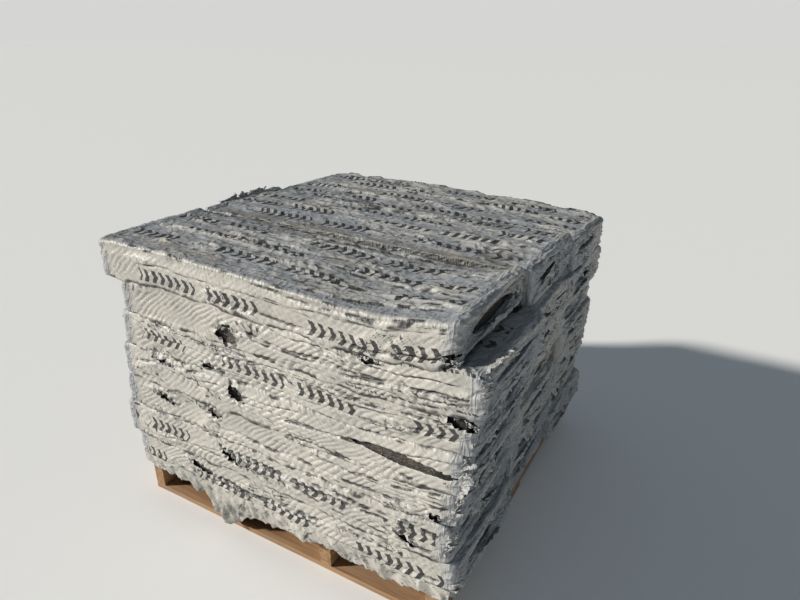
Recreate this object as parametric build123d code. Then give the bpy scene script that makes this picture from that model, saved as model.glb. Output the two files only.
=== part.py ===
from build123d import *
import os
from math import sqrt

# A pallet loaded with asphalt shingle bundles, each wrapped in its own film sleeve.
# Millimetres. +Z is up, +X runs along the bundles and -Y is the front of the load.
# The origin is on the floor, at the centre of the pallet's footprint.

# Shingles
shingle_length = 1000.0
shingle_width = 336.5
shingle_thickness = 4.3
shingles_per_bundle = 22
open_joints = 5             # joints of a pack that have opened at its edges
joint_depth = 4.0           # how far an open joint reads in from the edges of the pack
joint_height = 0.9
pack_bevel = 10.0           # the long edges of a pack slump to a bevel under its film

# Film sleeve of a bundle
film_wall = 2.0             # film with its folds and trapped air
film_end = 20.0             # the same where the sleeve gathers over the ends
end_draw = 12.0             # how far the gathered end draws in from each side
eye_length = 215.0          # the sleeve shrinks round each end and leaves an eye-shaped opening
eye_height = 36.0
eye_flats = 6               # flats that draw each lid of an eye

# Pallet
stringer_count = 4
stringer_width = 38.0
stringer_height = 89.0
short_length = 25.0         # how far the boards stop short of the shingles' length
short_depth = 4.5           # how far the stringers stop short of the rows' width
board_thickness = 16.0
lead_board_width = 140.0
inner_board_width = 89.0
inner_deck_boards = 5
board_corner = 4.0          # worn vertical corners of the boards

# The stack: layers from the pallet up, rows from the front to the back
layers = 7
rows = ("a", "b", "c")
row_gap = 0.4
slide = {                   # how far each bundle lies along +X from the pallet's centre
    "a": (17.0, -5.0, 8.0, 20.0, 35.0, 56.0, -2.0),
    "b": (-9.0, 7.0, 12.0, -6.0, 18.0, 30.0, 14.0),
    "c": (12.0, -6.0, 9.0, 16.0, 4.0, 28.0, 24.0),
}
creep = {                   # how far each bundle has crept out of the stack
    "a": (3.0, 8.0, 2.0, 7.0, 3.0, 7.0, 10.0),
    "b": (0.0, 0.0, 0.0, 0.0, 0.0, 0.0, 0.0),
    "c": (6.0, 2.0, 6.0, 4.0, 8.0, 4.0, 5.0),
}
crest, dip = -190.0, 290.0  # places along X where the rows have sunk least and most
station_margin = 80.0       # the outer stations stand this far past the middle bundles' ends
settled = {                 # how far the top of each row has sunk at the four stations along X
    "a": (7.0, 3.0, 25.0, 0.0),
    "b": (4.0, 2.0, 7.0, 12.0),
    "c": (16.0, 14.0, 26.0, 40.0),
}

# Holes worn in the film of the front row: layer, place along and up from the bundle's middle,
# length and height, all as shares of the bundle's length or height, and tilt in degrees
tears = (
    (3, 0.362, 0.02, 0.25, 0.26, -6.0),
    (5, -0.134, -0.15, 0.056, 0.34, 0.0),
    (4, 0.445, 0.18, 0.048, 0.20, -20.0),
    (2, 0.450, -0.27, 0.042, 0.15, -16.0),
    (1, 0.396, -0.19, 0.067, 0.18, -15.0),
    (1, -0.117, 0.06, 0.069, 0.24, -34.0),
    (2, -0.344, 0.13, 0.079, 0.16, -15.0),
    (0, -0.253, 0.13, 0.108, 0.22, -12.0),
)

# Sizes that follow from the ones above
pack_height = shingles_per_bundle * shingle_thickness
bundle_height = pack_height + 2 * film_wall
bundle_width = shingle_width + 2 * film_wall
bundle_length = shingle_length + 2 * film_end
sleeve_bevel = pack_bevel + film_wall * (2 - sqrt(2))   # keeps the wall even over the pack's bevel
end_slope = 0.9 * film_end                      # leaves a short straight lip past the shingles
pallet_length = shingle_length - short_length
pallet_depth = len(rows) * shingle_width - short_depth
deck_top = 2 * board_thickness + stringer_height
stringer_pitch = (pallet_length - stringer_width) / (stringer_count - 1)
outer_station = bundle_length / 2 + station_margin
stations = (-outer_station, crest, dip, outer_station)


def seam_height(row, level, along):
    """Height of the seam over so many layers. A row sinks in proportion to the layers in it."""
    step = 0
    while along > stations[step + 1]:
        step += 1
    part = (along - stations[step]) / (stations[step + 1] - stations[step])
    sunk = settled[row][step] * (1 - part) + settled[row][step + 1] * part
    return deck_top + level * bundle_height - sunk * level / layers


def section(along, width, floor, roof, bevel):
    """Corners, in order, of the upright cut through a slab at one place along X."""
    half, flat = width / 2, width / 2 - bevel
    corners = (
        (-flat, floor), (flat, floor), (half, floor + bevel), (half, roof - bevel),
        (flat, roof), (-flat, roof), (-half, roof - bevel), (-half, floor + bevel),
    )
    return [(along, *corner) for corner in dict.fromkeys(corners)]


def slab(row, layer, length, width, low=0.0, high=1.0, inset=0.0, bevel=0.0):
    """A slab between two shares of one bundle's height, which follows the settled seams."""
    left, right = slide[row][layer] - length / 2, slide[row][layer] + length / 2
    cuts = []
    for along in (left, *(place for place in stations if left < place < right), right):
        under, over = seam_height(row, layer, along), seam_height(row, layer + 1, along)
        floor, roof = (under + (over - under) * share for share in (low, high))
        cuts.append(section(along, width, floor + inset, roof - inset, bevel))
    sides = [cuts[0], cuts[-1]]
    for here, ahead in zip(cuts, cuts[1:]):
        for corner in range(len(here)):
            sides.append((here[corner - 1], here[corner], ahead[corner], ahead[corner - 1]))
    return Solid(Shell([make_face(Polyline(*side, close=True)) for side in sides]))


def pack_form(row, layer):
    """The closed outline of one pack of shingles."""
    return slab(row, layer, shingle_length, shingle_width, inset=film_wall, bevel=pack_bevel)


def shingle_pack(row, layer):
    """A pack with the joints that have opened at its edges."""
    pack = pack_form(row, layer)
    straight = 1 - 2 * (pack_bevel + film_wall) / bundle_height
    opening = joint_height / bundle_height
    heart = (shingle_length - 2 * joint_depth, shingle_width - 2 * joint_depth)
    for joint in range(open_joints):
        share = 0.5 + straight * ((joint + 0.5) / open_joints - 0.5)
        span = (share - opening / 2, share + opening / 2)
        ring = slab(row, layer, bundle_length, bundle_width, *span)
        pack -= ring - slab(row, layer, *heart, *span)
    return pack


def middle_height(row, layer, along):
    """Height of the middle of a bundle at one place along X."""
    return (seam_height(row, layer, along) + seam_height(row, layer + 1, along)) / 2


def eye(length, height):
    """An eye-shaped outline: two shallow lids, drawn in flats, that meet in a point at each end."""
    points = []
    for lid in (1, -1):
        for step in range(eye_flats):
            along = lid * (step / eye_flats - 0.5)
            points.append((along * length, lid * height / 2 * (1 - 4 * along**2)))
    return make_face(Polyline(*points, close=True))


def sleeve(row, layer):
    """The film sleeve of one bundle, open in an eye at both ends and torn at its holes."""
    film = slab(row, layer, bundle_length, bundle_width, bevel=sleeve_bevel)
    for side in (0, -1):
        end = film.faces().sort_by(Axis.X)[side]
        film = chamfer(end.edges(), end_draw, end_slope, reference=end)
    film -= pack_form(row, layer)
    for side in (-1, 1):
        along = slide[row][layer] + side * shingle_length / 2
        end = Plane((along, 0, middle_height(row, layer, along)), x_dir=(0, 1, 0), z_dir=(side, 0, 0))
        film -= extrude(end * eye(eye_length, eye_height), 2 * film_end)
    holes = [tear[1:] for tear in tears if row == rows[0] and tear[0] == layer]
    for share, up, length, height, tilt in holes:
        along = slide[row][layer] + share * bundle_length
        middle = (along, -shingle_width / 2, middle_height(row, layer, along) + up * bundle_height)
        front = Plane(middle, x_dir=(1, 0, 0), z_dir=(0, -1, 0)) * Rot(0, 0, tilt)
        film -= extrude(front * eye(length * bundle_length, height * bundle_height), 2 * film_wall)
    return film


def row_place(row, layer):
    """Where a bundle's row lies across the pallet, with the bundle crept outwards."""
    number = rows.index(row) - (len(rows) - 1) / 2
    outward = creep[row][layer] * ((number > 0) - (number < 0))
    return Pos(0, number * (bundle_width + row_gap) + outward, 0)


def board(width):
    """One sawn board along X, centred, with its vertical corners worn off."""
    plank = Box(pallet_length, width, board_thickness)
    return chamfer(plank.edges().filter_by(Axis.Z), board_corner)


def spread(count, width):
    """Where count boards of one width stand between the two lead boards, evenly spaced."""
    clear = pallet_depth - 2 * lead_board_width
    gap = (clear - count * width) / (count + 1)
    first = -clear / 2 + gap + width / 2
    return [first + number * (width + gap) for number in range(count)]


def pallet():
    """Every piece of the pallet by name: stringers on edge between two decks of boards."""
    pieces = {}
    lead = pallet_depth / 2 - lead_board_width / 2
    deck_height = deck_top - board_thickness / 2
    for number in range(stringer_count):
        across = -(pallet_length - stringer_width) / 2 + number * stringer_pitch
        stringer = Box(stringer_width, pallet_depth, stringer_height)
        middle = board_thickness + stringer_height / 2
        pieces[f"stringer_{number + 1}"] = Pos(across, 0, middle) * stringer
    deck = [-lead, *spread(inner_deck_boards, inner_board_width), lead]
    for number, place in enumerate(deck):
        width = lead_board_width if abs(place) == lead else inner_board_width
        pieces[f"deck_board_{number + 1}"] = Pos(0, place, deck_height) * board(width)
    for number, place in enumerate((-lead, 0, lead)):
        pieces[f"bottom_board_{number + 1}"] = Pos(0, place, board_thickness / 2) * board(lead_board_width)
    return pieces


def load():
    """Every bundle by name: its pack of shingles and the film sleeve round it."""
    pieces = {}
    for row in rows:
        for layer in range(layers):
            name = f"{layer + 1}{row}"
            place = row_place(row, layer)
            pieces[f"shingles_{name}"] = place * shingle_pack(row, layer)
            pieces[f"sleeve_{name}"] = place * sleeve(row, layer)
    return pieces


os.makedirs("parts", exist_ok=True)
for node, solid in {**pallet(), **load()}.items():
    export_step(solid, f"parts/{node}.step")
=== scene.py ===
import math

import bpy
import numpy as np
from mathutils import Matrix, Vector


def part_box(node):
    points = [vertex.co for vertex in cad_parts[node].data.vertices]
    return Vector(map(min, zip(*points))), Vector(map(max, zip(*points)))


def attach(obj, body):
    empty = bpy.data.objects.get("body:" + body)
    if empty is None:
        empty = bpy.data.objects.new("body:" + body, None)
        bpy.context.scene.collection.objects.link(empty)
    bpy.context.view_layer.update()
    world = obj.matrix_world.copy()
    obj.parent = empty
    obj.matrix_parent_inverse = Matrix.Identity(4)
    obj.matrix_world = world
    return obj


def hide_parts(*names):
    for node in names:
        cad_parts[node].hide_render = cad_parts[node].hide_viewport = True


bl_info = {
    "name": "Pallet of shingle bundles",
    "version": (1, 0, 0),
    "blender": (4, 5, 0),
    "location": "View3D > Sidebar > Shingles",
    "description": "Builds a pallet stacked with film-wrapped asphalt shingle bundles",
    "category": "Object",
}

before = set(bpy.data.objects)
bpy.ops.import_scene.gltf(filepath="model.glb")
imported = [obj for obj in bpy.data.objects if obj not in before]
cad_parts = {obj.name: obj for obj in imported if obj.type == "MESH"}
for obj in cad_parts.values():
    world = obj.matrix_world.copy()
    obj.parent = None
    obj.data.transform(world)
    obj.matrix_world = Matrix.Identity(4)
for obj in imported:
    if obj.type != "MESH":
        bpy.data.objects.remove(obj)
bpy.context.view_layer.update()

ROWS = "abc"                    # front to back
LAYERS = 7                      # numbered from the pallet up

# Noise and curves. In a noise term the divisors are wavelengths, and the factor before it is a depth.

HASH_X, HASH_Y, HASH_SEED, HASH_MIX = 374761393, 668265263, 974634777, 1274126177
WORD = 0xFFFFFFFF               # keeps the hash to 32 bits


def lattice(ix, iy, seed):
    """A fixed pseudo-random number from 0 to 1 for each point of a square lattice."""
    h = (ix * HASH_X + iy * HASH_Y + seed * HASH_SEED) & WORD
    h = ((h ^ (h >> 13)) * HASH_MIX) & WORD
    return ((h ^ (h >> 16)) & 0xFFFFFF) / 2**24


def noise(x, y, seed):
    """Smooth gradient noise in the plane, from about -1 to 1."""
    x, y = np.broadcast_arrays(np.asarray(x, float), np.asarray(y, float))
    ix, iy = np.floor(x).astype(np.int64), np.floor(y).astype(np.int64)
    fx, fy = x - ix, y - iy
    u, v = (f * f * f * (f * (f * 6 - 15) + 10) for f in (fx, fy))
    total = 0.0
    for dx, wx in ((0, 1 - u), (1, u)):
        for dy, wy in ((0, 1 - v), (1, v)):
            a = lattice(ix + dx, iy + dy, seed) * 2 * math.pi
            total = total + wx * wy * (np.cos(a) * (fx - dx) + np.sin(a) * (fy - dy))
    return total * 1.5


def ridged(x, y, seed):
    """Noise folded at its zero lines: sharp crests of height 1 between round valleys."""
    return 1 - 2 * np.abs(noise(x, y, seed))


def smooth(low, high, value):
    """Eases from 0 at low to 1 at high. It falls instead where low is above high."""
    t = np.clip((value - low) / (high - low), 0, 1)
    return t * t * (3 - 2 * t)


def bell(distance, width):
    """1 on a line and towards 0 away from it."""
    return np.exp(-(distance / width) ** 2)


def zigzag(turns):
    """Straight pleats, from 0.5 down to -0.5 and back once a turn."""
    return np.abs(2 * (turns - np.floor(turns)) - 1) - 0.5


# Where the bundles lie

BUNDLE_PITCH = 0.0986           # height of one bundle that has not settled
ROW_MIDDLE = 0.34               # the middle of an outer row lies this far from the pallet's middle
ROW_HALF = 0.17
TURN_SPREAD = 0.0022            # how far a bundle lies turned on the stack, in radians
EDGE_SAG = 0.16                 # the outer edge of an outer row sinks by this share more
SEAM_WANDER = 0.0052            # how far the seams of the outer rows wander where the film has shifted
DECK_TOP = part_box("deck_board_1")[1].z
LOAD_TOP = DECK_TOP + LAYERS * BUNDLE_PITCH

# How far the top of the load has settled in each row, at places along X (metres)
SETTLED_AT = (-0.56, -0.50, -0.30, -0.10, 0.06, 0.16, 0.27, 0.35, 0.44, 0.52, 0.58)
SETTLED = {
    "a": (0.006, 0.005, 0.003, 0.009, 0.015, 0.020, 0.025, 0.022, 0.012, 0.001, 0.000),
    "b": (0.005, 0.003, 0.001, 0.002, 0.005, 0.006, 0.007, 0.008, 0.009, 0.011, 0.012),
    "c": (0.017, 0.016, 0.014, 0.015, 0.019, 0.023, 0.027, 0.031, 0.036, 0.040, 0.041),
}


def bundle_places():
    """Middle of every bundle before settling, and its small turn on the stack."""
    found = {}
    rng = np.random.default_rng(12)
    for row in ROWS:
        for layer in range(1, LAYERS + 1):
            low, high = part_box(f"shingles_{layer}{row}")
            height = DECK_TOP + (layer - 0.5) * BUNDLE_PITCH
            middle = np.array([(low.x + high.x) / 2, (low.y + high.y) / 2, height])
            found[f"{layer}{row}"] = (middle, rng.normal(0, TURN_SPREAD))
    return found


PLACES = bundle_places()


def seam_wander(x, y, z, seed):
    """How far the film of an outer row has shifted up or down with the seams above and below it."""
    layer = np.clip((z - DECK_TOP) / BUNDLE_PITCH, 0, LAYERS)
    seam, part = np.floor(layer), layer - np.floor(layer)
    below, above = (
        noise(x / 0.17, 3.7 * (seam + up), seed) * ((seam + up > 0) & (seam + up < LAYERS)) for up in (0, 1))
    outer = np.clip(np.abs(y) / ROW_MIDDLE - 0.5, 0, 1)
    return SEAM_WANDER * (below * (1 - part) + above * part) * outer


def settle(points, row):
    """Lets a row sink in proportion to the layers in it, and a little more at its outer edge."""
    x, y, z = points.T
    side = {"a": -1, "b": 0, "c": 1}[row]
    outer = abs(side) * np.clip((side * y - ROW_MIDDLE) / ROW_HALF, -1, 1)
    dip = np.interp(x, SETTLED_AT, SETTLED[row]) * (1 + EDGE_SAG * outer)
    height = np.clip((z - DECK_TOP) / (LOAD_TOP - DECK_TOP), 0, 1.1)
    moved = points.copy()
    moved[:, 2] -= dip * height
    if side:
        moved[:, 2] += seam_wander(x, y, z, 610 + ROWS.index(row))
    return moved


def place_points(points, name):
    """From a bundle's own frame to where it lies on the pallet, settled with the stack."""
    middle, turn = PLACES[name]
    c, s = math.cos(turn), math.sin(turn)
    out = points @ np.array([[c, s, 0], [-s, c, 0], [0, 0, 1]]) + middle
    return settle(out, name[1])


# The film sleeves

# Holes worn in the film: bundle, place along and up from its middle, length, height (metres),
# tilt (degrees) and how far the torn edge curls outwards
TEARS = (
    ("4a", 0.376, 0.004, 0.272, 0.026, -6.0, 0.0010),
    ("7a", 0.500, -0.034, 0.046, 0.022, -16.0, 0.003),
    ("6a", -0.139, -0.018, 0.072, 0.050, 8.0, 0.006),
    ("6a", 0.267, 0.040, 0.066, 0.016, -4.0, 0.003),
    ("5a", 0.492, 0.030, 0.074, 0.032, -20.0, 0.005),
    ("4a", -0.354, 0.034, 0.088, 0.012, -3.0, 0.004),
    ("5a", -0.186, -0.036, 0.070, 0.024, -10.0, 0.006),
    ("4a", -0.093, 0.014, 0.060, 0.044, -38.0, 0.007),
    ("3a", -0.358, 0.012, 0.084, 0.018, -14.0, 0.005),
    ("3a", -0.182, 0.026, 0.060, 0.028, -20.0, 0.006),
    ("3a", 0.470, -0.030, 0.040, 0.016, -16.0, 0.005),
    ("2a", -0.122, 0.006, 0.078, 0.024, -34.0, 0.007),
    ("2a", 0.412, -0.019, 0.072, 0.016, -15.0, 0.004),
    ("1a", -0.263, 0.013, 0.114, 0.020, -12.0, 0.004),
    ("7c", 0.22, -0.012, 0.070, 0.020, 12.0, 0.005),
    ("5c", -0.31, 0.018, 0.060, 0.026, -20.0, 0.006),
    ("3c", 0.12, -0.006, 0.120, 0.018, 6.0, 0.005),
    ("2c", -0.05, 0.022, 0.050, 0.020, 0.0, 0.006),
)
LONG_TEAR = 0.1                 # a tear longer than this has a straighter edge and no torn tongues
FLAT_CURL = 0.002               # the film round a tear that curls less than this is not crushed

# Crumpled corners of the front sleeves: height on the bundle, width and reach (metres)
CORNER_TUFTS = {
    "7a": ((-0.040, 0.034, 0.022),),
    "6a": ((0.016, 0.060, 0.036),),
    "5a": ((-0.030, 0.060, 0.034),),
    "4a": ((0.020, 0.060, 0.040), (-0.018, 0.090, 0.054)),
    "3a": ((0.012, 0.070, 0.040),),
    "2a": ((0.002, 0.088, 0.050),),
    "1a": ((-0.008, 0.064, 0.034),),
}

# The gathered left end of 7b stands up in three crests: place across, width and reach (metres)
STANDING_CRESTS = ((-0.085, 0.10, 0.030), (0.0, 0.12, 0.036), (0.075, 0.09, 0.026))

# How far the hem of the lowest front sleeve hangs, at places along X (metres)
HEM_AT = (-0.505, -0.48, -0.36, -0.262, -0.236, -0.200, -0.164, -0.128,
          -0.10, 0.02, 0.12, 0.16, 0.22, 0.36, 0.505)
HEM_HANG = (0.012, 0.020, 0.021, 0.028, 0.060, 0.084, 0.092, 0.078,
            0.042, 0.036, 0.027, 0.023, 0.030, 0.029, 0.020)
HEM_STEP = 0.0036
HEM_ROWS = 15
LOWEST_HANG = 0.104             # the flap of the hem stays clear of the floor

# Where the print falls: sleeves printed on their long faces, and how far the print is shifted along
# and round the front sleeves (metres)
FRONT_PRINT = ("7a", "5a", "2a", "1a")
SMALL_PRINT = ("6a",)
BACK_PRINT = ("7c", "6c", "4c", "2c", "1c")
PRINT_SHIFTS = {
    "7a": (0.53, 0.0055),
    "6a": (0.31, 0.052),
    "5a": (0.14, 0.0645),
    "4a": (0.05, 0.062),
    "3a": (0.42, 0.055),
    "2a": (0.13, 0.0545),
    "1a": (0.27, 0.0765),
}

STRAIGHT_HALF = 0.462           # the body of a sleeve reaches this far from its middle, and its ends begin
FOLDS_ON_FACE, FOLDS_ON_TOP = 10, 14
COARSE_TOPS = 1.30              # the mesh steps on the top of rows b and c are longer by this factor
COARSE_ENDS = 1.55              # and those on all ends but the right ones of the front row by this
NEAR_RINGS, FAR_RINGS = 14, 8   # rings across an end to its eye
EDGE_ARC, END_ARC = 0.020, 0.040    # length of film over the edge of an end, and across it to the eye
LIP_ARC = 0.062                 # and of both with the start of the lip

# The right eye of 7a, which gapes: its half sizes, its shifts and the lift of its lower lid (metres)
GAPING_EYE = (0.112, 0.025, 0.006, 0.002, 0.016)


def section(width, height, radius, at):
    """Points (y, z) round a soft-cornered section, at distances from the middle of its underside.

    It runs by the front face, the top and the back.
    """
    a, b, q = width / 2 - radius, height / 2 - radius, math.pi / 2 * radius
    w, h = width / 2, height / 2
    ends = np.cumsum([0, a, q, 2 * b, q, 2 * a, q, 2 * b, q, a])
    y, z = np.zeros_like(at), np.zeros_like(at)
    for k in range(9):
        here = (at >= ends[k]) & (at <= ends[k + 1] + 1e-12)
        t = at[here] - ends[k]
        if k in (0, 4, 8):                  # underside, top, underside
            y[here] = {0: -t, 4: -a + t, 8: a - t}[k]
            z[here] = h if k == 4 else -h
        elif k in (2, 6):                   # front, back
            y[here] = -w if k == 2 else w
            z[here] = -b + t if k == 2 else b - t
        else:
            start = {1: -math.pi / 2, 3: math.pi, 5: math.pi / 2, 7: 0}[k]
            angle = start - t / radius
            y[here] = (-a if k < 4 else a) + radius * np.cos(angle)
            z[here] = (-b if k in (1, 7) else b) + radius * np.sin(angle)
    return y, z


def stations(total, fine, coarse, spans):
    """Distances from 0 to total: fine steps inside the spans and coarse ones outside them."""
    at, found = 0.0, []
    while at < total - 1e-9:
        found.append(at)
        inside = any(low <= at < high for low, high in spans)
        step = fine if inside else coarse
        ahead = [low for low, high in spans if at < low < at + step]
        if not inside and ahead:
            step = min(ahead) - at
        at += step
    return np.array(found)


class Sleeve:
    """Works out one bundle's film as a mesh: a body, two gathered ends and its torn holes.

    In every method x is a distance along the bundle from its middle, and s a distance round the sleeve
    from the middle of its underside. A face is the span of s that it takes up.
    """

    def __init__(self, name, size, rng):
        self.name, self.size, self.rng = name, size, rng
        self.layer, self.row = int(name[0]), name[1]
        self.seed = 1000 * self.layer + 97 * ROWS.index(self.row)
        self.lean = -1.0 if self.row == "c" else 1.0    # which way the wrinkles slant
        self.width, self.height, self.radius = size.sleeve_width, size.sleeve_height, size.edge_radius
        self.half = size.shingle_length / 2
        flat, tall = self.width / 2 - self.radius, self.height - 2 * self.radius
        q = math.pi / 2 * self.radius
        self.front = (flat, flat + 2 * q + tall)
        self.top = (self.front[1] - q, self.front[1] + 2 * flat + q)
        self.back = (self.top[1] - q, self.top[1] + q + tall)
        self.total = 4 * flat + 4 * q + 2 * tall
        self.long_faces = {"a": [self.front], "b": [], "c": [self.back]}[self.row]
        self.on_top = self.layer == LAYERS
        self.faces = self.long_faces + ([self.top] if self.on_top else [])
        self.holes = [hole[1:] for hole in TEARS if hole[0] == name]
        self.folds = self.choose_folds()

    def choose_folds(self):
        """Long lapped folds that run along each open face, with a slope and a meander."""
        folds = []
        for low, high in self.faces:
            deep = high - low
            for _ in range(FOLDS_ON_TOP if (low, high) == self.top else FOLDS_ON_FACE):
                folds.append((
                    self.rng.uniform(-0.5, 0.35), self.rng.uniform(0.22, 0.75),
                    low + deep * self.rng.uniform(0.08, 0.92),
                    self.rng.normal(0.0, 0.055), self.rng.uniform(0.0030, 0.0065),
                    self.rng.choice((-1.0, 1.0)), self.rng.integers(1, 9999),
                ))
        return folds

    def laps(self, x, s):
        """For each long fold: the distance past its edge, its strength here and its depth."""
        for start, length, place, slope, depth, side, fold_seed in self.folds:
            along = (x - start) / length
            window = smooth(0, 0.16, along) * smooth(1, 0.84, along)
            off = s - place - slope * (x - start) - 0.006 * noise(x / 0.09, 0.5, int(fold_seed))
            yield off * side, window, depth

    def slanted(self, x, s):
        """The slanted wrinkles: 0 in a valley and 1 on a crest, and how strong they are here."""
        drift = 0.9 * noise(x / 0.16, s / 0.07, self.seed + 6)
        drift = drift + 0.30 * noise(x / 0.05, s / 0.03, self.seed + 9)
        slant = math.radians(self.size.wrinkle_slant)
        phase = (self.lean * x * math.sin(slant) - s * math.cos(slant)) / self.size.wrinkle_pitch + drift
        strength = 0.45 + 0.75 * smooth(-0.3, 0.35, noise(x / 0.13 + 9, s / 0.05, self.seed + 7))
        return np.abs(np.sin(math.pi * phase)) ** 0.9, strength

    def crushing(self, x, s):
        """1 where the film is crushed into small facets."""
        return smooth(0.06, 0.45, noise(x / 0.15 + 4, s / 0.045, self.seed + 8))

    def topside(self, s):
        """1 on the top of the bundle and 0 on its other faces."""
        low, high = self.top
        return smooth(low - 0.004, low + 0.012, s) * smooth(high + 0.004, high - 0.012, s)

    def inner_side(self, s):
        """1 on the long faces of a top bundle that look at another row."""
        if not self.on_top:
            return np.zeros(np.shape(s))
        inner = np.where(s < self.top[0], float(self.row != "a"), float(self.row != "c"))
        return inner * (1 - self.topside(s))

    def valleys(self, x, s):
        """1 in the valleys between strong slanted wrinkles."""
        crest, strength = self.slanted(x, s)
        deep = smooth(0.42, 0.12, crest) * smooth(0.40, 0.95, strength)
        return deep * (1 - self.crushing(x, s)) * (1 - self.topside(s))

    def crushed_shade_lines(self, x, s):
        """Painted shade: 1 in the short dark lines of crushed film, and less in the long ones on top."""
        above = self.topside(s)
        short = smooth(0.20, 0.05, np.abs(noise(x / 0.040, (s + 0.7 * x) / 0.013, self.seed + 45)))
        long = smooth(0.16, 0.04, np.abs(noise(x / 0.075, s / 0.013, self.seed + 48)))
        creased = np.maximum(self.crushing(x, s) * (1 - above), 0.9 * self.inner_side(s))
        return np.maximum(short * creased, 0.74 * above * long)

    def lap_shade_lines(self, x, s):
        """Painted shadow: 1 in the broken dark lines beside the lapped folds."""
        dark = np.zeros(np.broadcast(x, s).shape)
        broken = smooth(-0.25, 0.10, noise(x / 0.045, s / 0.08, self.seed + 41))
        for off, window, depth in self.laps(x, s):
            shade_line = bell(off - 0.0035, 0.0023)
            dark = np.maximum(dark, window * broken * shade_line * np.clip(depth / 0.0042, 0, 1.2))
        return dark

    def seam_shade_lines(self, x, s):
        """Painted shade: 1 in the broken dark lines beside the seams below and above each long face."""
        dark = np.zeros(np.broadcast(x, s).shape)
        for low, high in self.long_faces:
            broken = smooth(-0.40, 0.10, noise(x / 0.06, 2.0, self.seed + 42))
            dark = np.maximum(dark, broken * bell(s - low - 0.0065, 0.0062))
            broken = smooth(-0.10, 0.30, noise(x / 0.05, 6.0, self.seed + 43))
            where = 0.0075 + 0.0040 * noise(x / 0.05, 8.0, self.seed + 44)
            dark = np.maximum(dark, broken * bell(high - s - where, 0.0030))
        return dark

    def end_shade_streaks(self, x, s):
        """Painted shade: the dark lines that run across the gathered ends."""
        streak = (np.abs(x) - self.half) + 0.006 * noise(s / 0.06, x / 0.04, self.seed + 47)
        streak = smooth(0.20, 0.05, np.abs(noise(streak / 0.0095, s / 0.32, self.seed + 46)))
        return 0.58 * smooth(self.half + 0.002, self.half + 0.012, np.abs(x)) * streak

    def crease_shade_lines(self, x, s):
        """Painted shade: 1 in the darkest creases of the film and less in its finer lines."""
        dark = np.maximum(0.54 * self.valleys(x, s), 0.85 * self.crushed_shade_lines(x, s))
        dark = np.maximum(dark, np.maximum(self.lap_shade_lines(x, s), self.seam_shade_lines(x, s)))
        dark = dark * smooth(self.half + 0.002, self.half - 0.016, np.abs(x))
        return np.clip(dark + self.end_shade_streaks(x, s), 0, 1)

    def exposure(self, x, s):
        """1 where the film is open to view, towards 0 where it is pressed between bundles."""
        seen = np.zeros(np.broadcast(x, s).shape)
        past = 0.030 if self.on_top else 0.0            # row tops stand above their neighbours
        for low, high in self.faces:
            edge = np.minimum(s - low, high - s)
            seen = np.maximum(seen, smooth(-0.022 - past, 0.004 - past, edge))
        near_end = smooth(self.half - 0.075, self.half - 0.015, np.abs(x))
        return np.maximum(seen, 0.55 * near_end)

    def crown(self, x, s):
        """How far the top of a top bundle lies under its middle: towards its inner edges it slopes away."""
        if not self.on_top:
            return np.zeros(np.broadcast(x, s).shape)
        low, high = self.top
        across = (s - (low + high) / 2) / ((high - low) / 2)
        slope = np.clip(np.abs(across), 0, 1.0)
        inner = np.where(across < 0, float(self.row != "a"), float(self.row != "c"))
        above = smooth(1.45, 1.05, np.abs(across))
        return above * inner * (0.010 + 0.004 * noise(x / 0.2, 0.7, self.seed + 14)) * slope**3.2

    def crumples(self, x, s):
        """Crumples of three sizes, on places that are pushed about."""
        wx = x + 0.012 * noise(x / 0.07, s / 0.05, self.seed + 1)
        ws = s + 0.010 * noise(x / 0.06, s / 0.05, self.seed + 2)
        return (
            0.0034 * ridged(wx / 0.110, ws / 0.048, self.seed + 3)
            + 0.0030 * ridged(wx / 0.045 + 3, ws / 0.022, self.seed + 4)
            + 0.0015 * ridged(wx / 0.026, (ws + 0.7 * wx) / 0.011 + 7, self.seed + 5)
        )

    def top_crinkles(self, x, s):
        """Short crinkles that run across the top of a bundle, strongest near its edges."""
        low, high = self.top
        cross = (x + 0.35 * (s - low) * self.lean) / self.size.crinkle_pitch
        cross = cross + 1.6 * noise(x / 0.09, s / 0.05, self.seed + 10)
        edge = np.exp(-np.minimum(np.abs(s - low), np.abs(high - s)) / 0.045)
        crinkle = self.size.crinkle_depth * (np.abs(np.sin(math.pi * cross)) ** 0.9 - 0.6)
        return crinkle * (0.35 + 0.85 * edge) * (0.5 + 0.7 * noise(x / 0.10, s / 0.07, self.seed + 13))

    def lapped_folds(self, x, s):
        """The long folds: each rises to its edge and drops into a groove past it."""
        folds = np.zeros(np.broadcast(x, s).shape)
        for off, window, depth in self.laps(x, s):
            lap = np.exp(np.minimum(off, 0) / 0.016) * smooth(0.0040, -0.0004, off)
            folds += depth * window * (lap - 0.8 * bell(off - 0.0040, 0.0026))
        return folds

    def edge_band(self, x, s):
        """Fine crinkles in a band across the front edge of the top: the band's strength and their height."""
        low = self.top[0]
        band = bell(s - low - 0.006 - 0.05 * np.clip(x + 0.1, -0.2, 0.4), 0.034)
        band = band * smooth(-0.36, -0.05, x)
        across = (x + 0.16 * (s - low)) / 0.0088 + 0.9 * noise(x / 0.03, s / 0.05, self.seed + 19)
        return band, np.abs(np.sin(math.pi * across)) - 0.55

    def wrinkles(self, x, s):
        """How far the film stands off its form, in metres, before exposure is taken into account."""
        above, crushed = self.topside(s), self.crushing(x, s)
        crest, strength = self.slanted(x, s)
        herring = self.size.wrinkle_depth * (crest - 0.6) * strength
        rough = self.size.crumple_depth * (0.20 + 0.40 * above + 0.85 * crushed + 0.5 * self.inner_side(s))
        shape = rough * self.crumples(x, s) + (1 - above) * (1 - 0.7 * crushed) * herring
        shape = shape + above * self.top_crinkles(x, s) + self.lapped_folds(x, s)
        if self.name == "7a":
            band, crinkle = self.edge_band(x, s)
            shape = shape * (1 - 0.7 * band) + 0.0034 * band * crinkle
        return shape

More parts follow.
